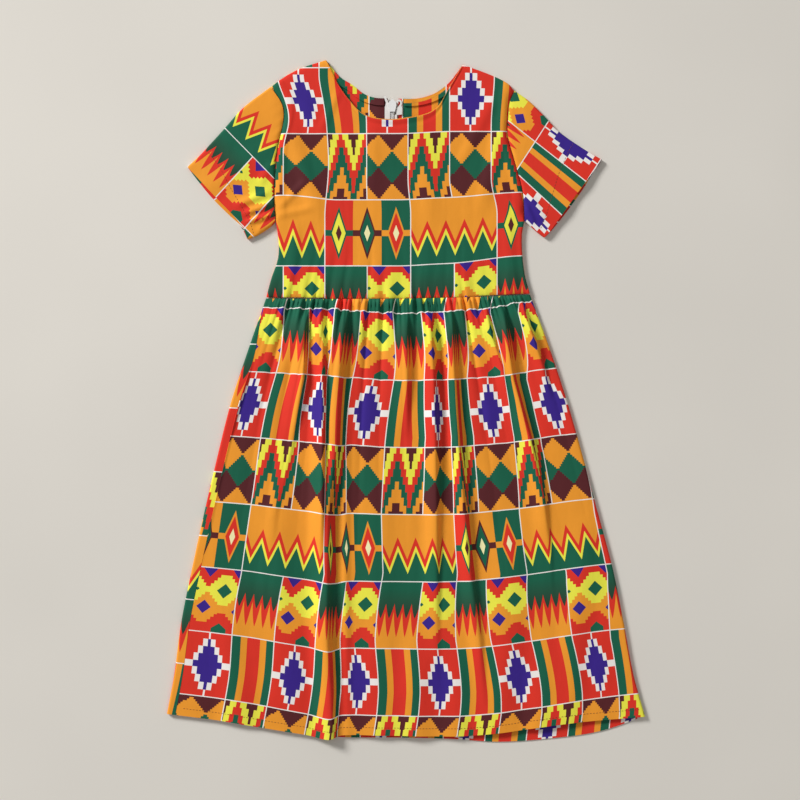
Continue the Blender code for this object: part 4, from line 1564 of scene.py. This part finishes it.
SLEEVES = (
    Sleeve(
        "left", ARMHOLE_LEFT, CUFF_LEFT, SLEEVE_TOP_LEFT, SLEEVE_UNDER_LEFT, -1.0, 3.5,
        Grain(-168.3, 268.4, 2.0, 3.0, -45.6, -132.4, 46.2, 61.0), 18.0, 2.02,
    ),
    Sleeve(
        "right", ARMHOLE_RIGHT, CUFF_RIGHT, SLEEVE_TOP_RIGHT, SLEEVE_UNDER_RIGHT, 1.0, 2.5,
        Grain(141.9, 284.9, 2.0, 4.0, 57.0, -38.1, 39.5, 71.3, 0.16), 24.0,
    ),
)


# ------------------------------------------------------------------ skirt

@dataclass
class Skirt:
    """Front and back skirt: the left seam lies on top, the right one below."""

    wrap_left: float = 9.5
    wrap_right: float = 8.0
    first_column: float = 0.02
    first_row: float = 2.78
    rows_long: float = 6.52
    back_first_row: float = 2.285
    back_first_column: float = 9.3
    back_column_lean: float = 0.4
    puckers: Puckers = WAIST_PUCKERS

    def __post_init__(self) -> None:
        """Prepare the skirt's outline curves."""
        self.waist = curve_through(WAIST)
        self.left_edge = curve_through(SKIRT_LEFT)
        self.right_edge = curve_through(SKIRT_RIGHT)
        self.hems = {True: curve_through(FRONT_HEM), False: curve_through(BACK_HEM)}

    def row_y(self, x: float, along: float, left: float, right: float, front: bool) -> float:
        """Height up the laid dress of a level of the skirt.

        Args:
            x: Place across.
            along: Share of the way from the waist to the hem.
            left: Left fold's place at this level.
            right: Right fold's place at this level.
            front: Whether it is the front's level.

        Returns:
            The y of that place.
        """
        share = min(max((x - left) / (right - left), 0.0), 1.0)
        top = self.waist(share).y - SEAM_GAP
        return top + (self.hems[front](share).y - top) * along

    def seam_arc(self, along: float, wrap: float) -> float:
        """Arc distance from a fold to the side seam beyond it."""
        grown = wrap * smooth_step(along / 0.16)
        return grown + (QUARTER - FOLD_RADIUS) * min(grown / FOLD_RADIUS, 1.0)

    def lying(self, x: float, y: float, left: float, right: float, along: float) -> float:
        """Height of folds and gathers over the laid front.

        Args:
            x: Place across.
            y: Place up the dress.
            left: Left fold's place at this level.
            right: Right fold's place at this level.
            along: Share of the way from the waist to the hem.

        Returns:
            The height to add.
        """
        grown = smooth_step(along / 0.09)
        total = sum(gather.height(x, y) for gather in GATHERS) * grown
        for crest, start, end, half, tall in SOFT_SWELLS:
            if abs(x - crest - (y + 200.0) * 0.12 * crest / 260.0) < half:
                off = (x - crest - (y + 200.0) * 0.12 * crest / 260.0) / half
                fade = smooth_step((start - y) / 90.0) * (1.0 - smooth_step((end - y) / 90.0))
                total += tall * fade * math.cos(off * math.pi / 2.0) ** 2
        share = (x - left) / (right - left)
        depth = along * SKIRT_LENGTH
        total += self.puckers.height(share, depth) * (1.0 - 0.7 * math.exp(-depth / 2.5))
        total += 2.4 * math.exp(-depth / 22.0) - 2.9 * math.exp(-depth / 2.2)
        return total * smooth_step((min(x - left, right - x) - 3.0) / 12.0)

    def front_point(self, distance: float, along: float) -> tuple[Vector, Point]:
        """Place of a point of the front skirt.

        Args:
            distance: Share of the way from the left seam to the right one.
            along: Share of the way from the waist to the hem.

        Returns:
            The point in millimetres and its (column, row).
        """
        left, right = self.left_edge(along).x, self.right_edge(along).x
        start = self.seam_arc(along, self.wrap_left) + SEAM_GAP / 2.0
        flat = right - left - 2.0 * FOLD_RADIUS
        wrapped = self.seam_arc(along, self.wrap_right)
        end = QUARTER + flat + 2.0 * QUARTER - QUARTER + wrapped - SEAM_GAP / 2.0
        arc = start + (end - start) * distance
        if arc < QUARTER:
            angle = arc / FOLD_RADIUS
            x, z = left + FOLD_RADIUS * (1.0 - math.cos(angle)), FOLD_RADIUS * math.sin(angle)
        elif arc < QUARTER + flat:
            x, z = left + FOLD_RADIUS + arc - QUARTER, FOLD_RADIUS
        else:
            beyond = arc - QUARTER - flat
            angle = min(beyond / FOLD_RADIUS, math.pi)
            x = right - FOLD_RADIUS + FOLD_RADIUS * math.sin(angle) - max(beyond - 2.0 * QUARTER, 0.0)
            z = FOLD_RADIUS * math.cos(angle)
        y = self.row_y(x, along, left, right, True)
        hidden = sum(gather.hidden(x, y) for gather in GATHERS)
        column = self.first_column + (arc - start + hidden) / CELL_WIDTH
        share = (x - left) / (right - left)
        inside = smooth_step((x - left - 10.0) / 40.0)
        column += 0.06 * bump(y / 110.0) * inside * (1.0 - smooth_step((x + 60.0) / 30.0))
        column += 0.07 * bump((y + 189.0) / 90.0) * smooth_step((x - 20.0) / 60.0)
        off_right = 1.0 - smooth_step((x - right + 60.0) / 50.0)
        column -= 0.12 * smooth_step((-200.0 - y) / 110.0) * inside * off_right
        row = self.first_row + self.rows_long * along + 0.04 * smooth_step((-60.0 - x) / 120.0) * along
        row += 0.068 * (1.0 - smooth_step((x + 90.0) / 80.0)) * (1.0 - smooth_step((along - 0.2) / 0.45))
        row += 0.08 * smooth_step((share - 0.78) / 0.22) * (1.0 - 0.3 * along)
        row += 0.035 * smooth_step((share - 0.55) / 0.3) * (1.0 - smooth_step(along / 0.25))
        row += 0.005 * self.puckers.height(share, along * SKIRT_LENGTH)
        upper = z > 0.0 and QUARTER <= arc <= QUARTER + flat
        height = CENTRE_Z + z + (self.lying(x, y, left, right, along) if upper else 0.0)
        return Vector((x, y, height)), (column, row)

    def back_point(self, distance: float, along: float) -> tuple[Vector, Point]:
        """Place of a point of the back skirt.

        Args:
            distance: Share of the way from the left seam to the right one.
            along: Share of the way from the waist to the hem.

        Returns:
            The point in millimetres and its (column, row).
        """
        left, right = self.left_edge(along).x, self.right_edge(along).x
        start = -self.seam_arc(along, self.wrap_left) + SEAM_GAP / 2.0
        flat = right - left - 2.0 * FOLD_RADIUS
        end = QUARTER + flat + QUARTER - self.seam_arc(along, self.wrap_right) - SEAM_GAP / 2.0
        arc = start + (end - start) * distance
        if arc < -QUARTER:
            x, z = left + FOLD_RADIUS - arc - QUARTER, FOLD_RADIUS
        elif arc < QUARTER:
            angle = arc / FOLD_RADIUS
            x, z = left + FOLD_RADIUS * (1.0 - math.cos(angle)), -FOLD_RADIUS * math.sin(angle)
        elif arc < QUARTER + flat:
            x, z = left + FOLD_RADIUS + arc - QUARTER, -FOLD_RADIUS
        else:
            angle = (arc - QUARTER - flat) / FOLD_RADIUS
            x, z = right - FOLD_RADIUS + FOLD_RADIUS * math.sin(angle), -FOLD_RADIUS * math.cos(angle)
        y = self.row_y(x, along, left, right, False)
        hidden = sum(gather.hidden(x, y) for gather in GATHERS) if arc > 0.0 else 0.0
        reached = arc + QUARTER - FOLD_RADIUS + hidden * (1.0 - along)
        column = self.back_first_column + self.back_column_lean * along - reached / CELL_WIDTH
        row = self.back_first_row + self.rows_long * along
        return Vector((x, y, CENTRE_Z + z)), (column, row)

    def grid(
        self, place: Callable[[float, float], tuple[Vector, Point]], across: Sequence[float],
        along: Sequence[float],
    ) -> tuple[np.ndarray, np.ndarray]:
        """Points and cloth places over a whole panel.

        Args:
            place: Gives a point and its cloth place from the shares across and along.
            across: Shares of the way from the left seam to the right one.
            along: Shares of the way from the waist to the hem.

        Returns:
            The points, and their (column, row) places.
        """
        points, prints = [], []
        for level in along:
            row = [place(share, level) for share in across]
            points.append([tuple(point) for point, _ in row])
            prints.append([cloth_place for _, cloth_place in row])
        return np.array(points), np.array(prints)

    def build(self, finishes: Finishes) -> None:
        """Args:
            finishes: The dress's materials.
        """
        edge = [0.004 * step for step in range(6)]
        across = edge[:-1] + [0.02 + 0.955 * step / 286 for step in range(287)]
        across += [0.975 + 0.025 * step / 12 for step in range(1, 13)]
        down = [0.12 * (step / 28) for step in range(28)]
        down += [0.12 + 0.88 * step / 80 for step in range(81)]
        outer, places = self.grid(self.front_point, across, down)
        shell = cloth_shell("skirt_front_cloth", outer[::-1], places[::-1], finishes.cloth)
        front = finish_piece(shell, Body.DRESS, Slot.CLOTH, ["skirt_front"])
        level = 1.0 - 8.5 / SKIRT_LENGTH
        route = [self.front_point(0.012 + 0.962 * step / 400, level)[0] for step in range(401)]
        stitches = finish_piece(
            stitch_row("skirt_front_hem_stitches", route, finishes.thread), Body.DRESS, Slot.CLOTH
        )
        across = [0.03 * step / 14 for step in range(14)] + [0.03 + 0.955 * step / 120 for step in range(121)]
        across += [0.985 + 0.015 * step / 5 for step in range(1, 6)]
        down = [step / 70 for step in range(71)]
        outer, places = self.grid(self.back_point, across, down)
        shell = cloth_shell("skirt_back_cloth", outer, places, finishes.cloth)
        back = finish_piece(shell, Body.DRESS, Slot.CLOTH, ["skirt_back"])


SOFT_SWELLS = (
    (-140, -60, -300, 30, 2.2),
    (-30, -40, -360, 26, 1.8),
    (10, -230, -420, 26, 2.6),
    (110, -120, -330, 30, 2.2),
    (190, -100, -330, 24, 2.0),
    (160, -240, -420, 26, 2.6),
    (-200, -180, -420, 26, 2.0),
    (60, -250, -420, 20, 1.4),
)


# ------------------------------------------------------------------ neck and zip

@dataclass
class NeckFacing:
    """Strip of cloth turned to the inside along the back neck."""

    side: str
    edge: Sequence[Point]
    grain: Grain
    cut: Point
    cut_area: float
    banded: bool = False
    band: float = 4.8
    band_narrows: float = 2.6
    width: float = 8.0
    spans: int = 60

    def build(self, finishes: Finishes) -> None:
        """Args:
            finishes: The dress's materials.
        """
        curve = curve_through(self.edge)
        points, prints = [], []
        for reach_step in range(11):
            points.append([])
            prints.append([])
            for step in range(self.spans + 1):
                share = step / self.spans
                run = (curve(min(share + 0.01, 1.0)) - curve(max(share - 0.01, 0.0))).normalized()
                inward = Vector((run.y, -run.x))
                if inward.y > 0.0:
                    inward = -inward
                band = self.band - self.band_narrows * share
                reach = 0.4 + (band - 0.4) * reach_step / 4
                if reach_step > 4:
                    reach = band + 0.3 + (self.width - band - 0.3) * (reach_step - 5) / 5
                place = curve(share) + inward * reach
                ripple = 0.12 * math.sin(step * 0.9) * reach / self.width
                z = INNER_FACE_Z + back_lift(place.x, place.y) + ripple
                points[-1].append((place.x, place.y, z))
                column, row = self.grain.at(place.x, place.y)
                if self.banded and reach_step < 5:
                    row = RIM_PLACE[1]
                prints[-1].append((column, row))
        outer, places = np.array(points), np.array(prints)
        outer, places = printed_side_up(outer, places)
        shell = cloth_shell(f"neck_facing_{self.side}_cloth", outer, places, finishes.cloth)
        piece = finish_piece(shell, Body.DRESS, Slot.CLOTH, [f"neck_facing_{self.side}"])


# Each level: nearest and farthest distance from the zip's middle, then its height
LEFT_TAPE_END = (
    (2.6, 8.4, 320), (2.6, 8.4, 323), (3.2, 7.6, 325), (4.4, 7.2, 328), (6.0, 8.4, 331.5), (7.2, 9.6, 335),
)
RIGHT_TAPE_END = (
    (2.6, 12, 308), (2.6, 6, 309.5), (2.6, 5, 311), (2.6, 5, 314.3), (4.4, 10.4, 315), (4.4, 10.6, 319),
    (4.6, 10.6, 322.4), (6.6, 10.4, 323.6),
)


@dataclass
class BackZip:
    """Closed nylon zip with its two tapes, slider and pull tab."""

    bottom_y: float = 132.0
    top_y: float = 317.7
    tooth_pitch: float = 1.3
    tooth_reach: float = 2.25
    tooth_hook: float = 0.5
    tooth_width: float = 1.0
    tooth_height: float = 0.55
    coil_height: float = 1.95
    near: float = 2.6

    def tape(self, side: str, finishes: Finishes) -> bpy.types.Object:
        """Make one tape.

        Args:
            side: "left" or "right".
            finishes: The dress's materials.

        Returns:
            The tape's shell.
        """
        sign = -1.0 if side == "left" else 1.0
        far = 8.4 if side == "left" else 12.0
        levels = [(self.near, far, self.bottom_y + (305.0 - self.bottom_y) * step / 60) for step in range(61)]
        edges = [((near, y), (wide, y)) for near, wide, y in levels]
        if side == "left":
            edges += [((near, y), (wide, y)) for near, wide, y in LEFT_TAPE_END]
        else:
            edges += [((near, y), (wide, y)) for near, wide, y in RIGHT_TAPE_END]
            for step in range(15):
                angle = math.radians(-38.0 + 15.5 * step)
                inner = (7.3 + 1.3 * math.cos(angle), 327.4 + 2.0 * math.sin(angle))
                outer = (7.3 + 3.2 * math.cos(angle), 327.4 + 4.2 * math.sin(angle))
                edges.append((inner, outer))
        points, prints = [], []
        for close, wide in edges:
            points.append([])
            prints.append([])
            for step in range(9):
                share = step / 8
                x = ZIP_X + sign * (close[0] + (wide[0] - close[0]) * share)
                y = close[1] + (wide[1] - close[1]) * share
                points[-1].append((x, y, INNER_FACE_Z + back_lift(x, y)))
                prints[-1].append((x / CELL_WIDTH, y / CELL_HEIGHT))
        outer, places = np.array(points), np.array(prints)
        outer, places = printed_side_up(outer, places)
        return cloth_shell(f"zip_tape_{side}_cloth", outer, places, finishes.tape, 0.9)

    def tapes(self, finishes: Finishes) -> None:
        """Args:
            finishes: The dress's materials.
        """
        left, right = self.tape("left", finishes), self.tape("right", finishes)
        with bpy.context.temp_override(active_object=left, selected_editable_objects=[left, right]):
            bpy.ops.object.join()
        left.name = "zip_tapes_cloth"
        finish_piece(left, Body.DRESS, Slot.TAPE, ["zip_tape_left", "zip_tape_right"])

    def chain(self, finishes: Finishes) -> None:
        """Make the closed coil as two rows of interlocked loops.

        Args:
            finishes: The dress's materials.
        """
        solids = []
        count = int((self.top_y - self.bottom_y) / self.tooth_pitch)
        for step in range(count):
            y = self.bottom_y + 0.4 + step * self.tooth_pitch
            for sign, shift in ((-1.0, 0.0), (1.0, self.tooth_pitch / 2.0)):
                z = self.coil_height + back_lift(ZIP_X, y)
                start = Vector((ZIP_X + sign * self.tooth_reach, y + shift, z))
                end = Vector((ZIP_X - sign * self.tooth_hook, y + shift, z))
                solids.append(thread_bead(start, end, self.tooth_width, self.tooth_height))
        piece = joined_solids("zip_coil", solids, finishes.nylon)
        finish_piece(piece, Body.DRESS, Slot.NYLON, ["zip_chain"])

    def build(self, finishes: Finishes, frame: dict) -> None:
        """Make the whole zip.

        Args:
            finishes: The dress's materials.
            frame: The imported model, whose slider and pull are kept.
        """
        self.tapes(finishes)
        self.chain(finishes)
        for node, body in (("zip_slider", Body.DRESS), ("zip_pull", Body.PULL)):
            mesh = frame["nodes"][node].data
            mesh.materials.clear()
            mesh.materials.append(finishes.enamel)
            log.info("%s: kept on body %s, slot %s, enamelled", node, body.value, Slot.ENAMEL.value)


# ------------------------------------------------------------------ setting

@dataclass(frozen=True)
class Setting:
    """Floor, lights and camera."""

    floor_colour: str = "E6E1D8"
    camera_height: float = 2.08
    lens: float = 85.0
    aim: Point = (-0.0066, 0.0011)
    floor_half: float = 8.0
    floor_depth: float = -0.0004

    def build(self) -> None:
        """Make the floor, the lights and the camera."""
        floor_mesh = bpy.data.meshes.new("floor")
        half, low = self.floor_half, self.floor_depth
        floor_mesh.from_pydata(
            [(-half, -half, low), (half, -half, low), (half, half, low), (-half, half, low)],
            [], [(0, 1, 2, 3)],
        )
        paint = PlainFinish("pale_matt_paint", self.floor_colour, 0.9, grain_scale=3.0, grain=0.02).build()
        floor = metres_object("floor", floor_mesh, paint)
        self.light("key", (-4.3, 3.4, 2.9), 1.6, 420.0)
        self.light("fill", (0.9, -0.6, 1.9), 1.6, 4.0)
        world = bpy.data.worlds.new("studio")
        world.use_nodes = True
        background = world.node_tree.nodes["Background"]
        background.inputs[0].default_value = (1.0, 0.985, 0.96, 1.0)
        background.inputs[1].default_value = 0.3
        bpy.context.scene.world = world
        bpy.context.scene.view_settings.view_transform = "Standard"
        data = bpy.data.cameras.new("camera")
        data.lens = self.lens
        data.sensor_width = 36.0
        camera = bpy.data.objects.new("camera", data)
        camera.location = (self.aim[0], self.aim[1], self.camera_height)
        bpy.context.scene.collection.objects.link(camera)
        bpy.context.scene.camera = camera

    def light(self, name: str, place: tuple[float, float, float], size: float, power: float) -> None:
        """Add a square soft light that faces the dress.

        Args:
            name: The light's name.
            place: Where it hangs, in metres.
            size: Length of its side.
            power: Its power in watts.
        """
        data = bpy.data.lights.new(name, "AREA")
        data.size = size
        data.energy = power
        lamp = bpy.data.objects.new(name, data)
        lamp.location = place
        lamp.rotation_euler = (-Vector(place)).to_track_quat("-Z", "Y").to_euler()
        bpy.context.scene.collection.objects.link(lamp)


FACINGS = (
    NeckFacing("left", FACING_EDGE_LEFT, Grain(-40.7, 324.0, 6.0, 1.74), (0.068, 0.018), 0.00054),
    NeckFacing(
        "right", FACING_EDGE_RIGHT, Grain(-3.9, 330.0, 5.0, 0.35, width=48.0), (0.064, 0.017), 0.00052, True,
    ),
)


def main() -> None:
    """Build the dress and its setting, piece by piece."""
    logging.basicConfig(level=logging.INFO, format="%(name)s: %(message)s")
    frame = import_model()
    finishes = Finishes.build()
    Setting().build()
    Bodice().build(finishes)
    for sleeve in SLEEVES:
        sleeve.build(finishes)
    Skirt().build(finishes)
    for facing in FACINGS:
        facing.build(finishes)
    BackZip().build(finishes, frame)


if __name__ == "__main__":
    main()
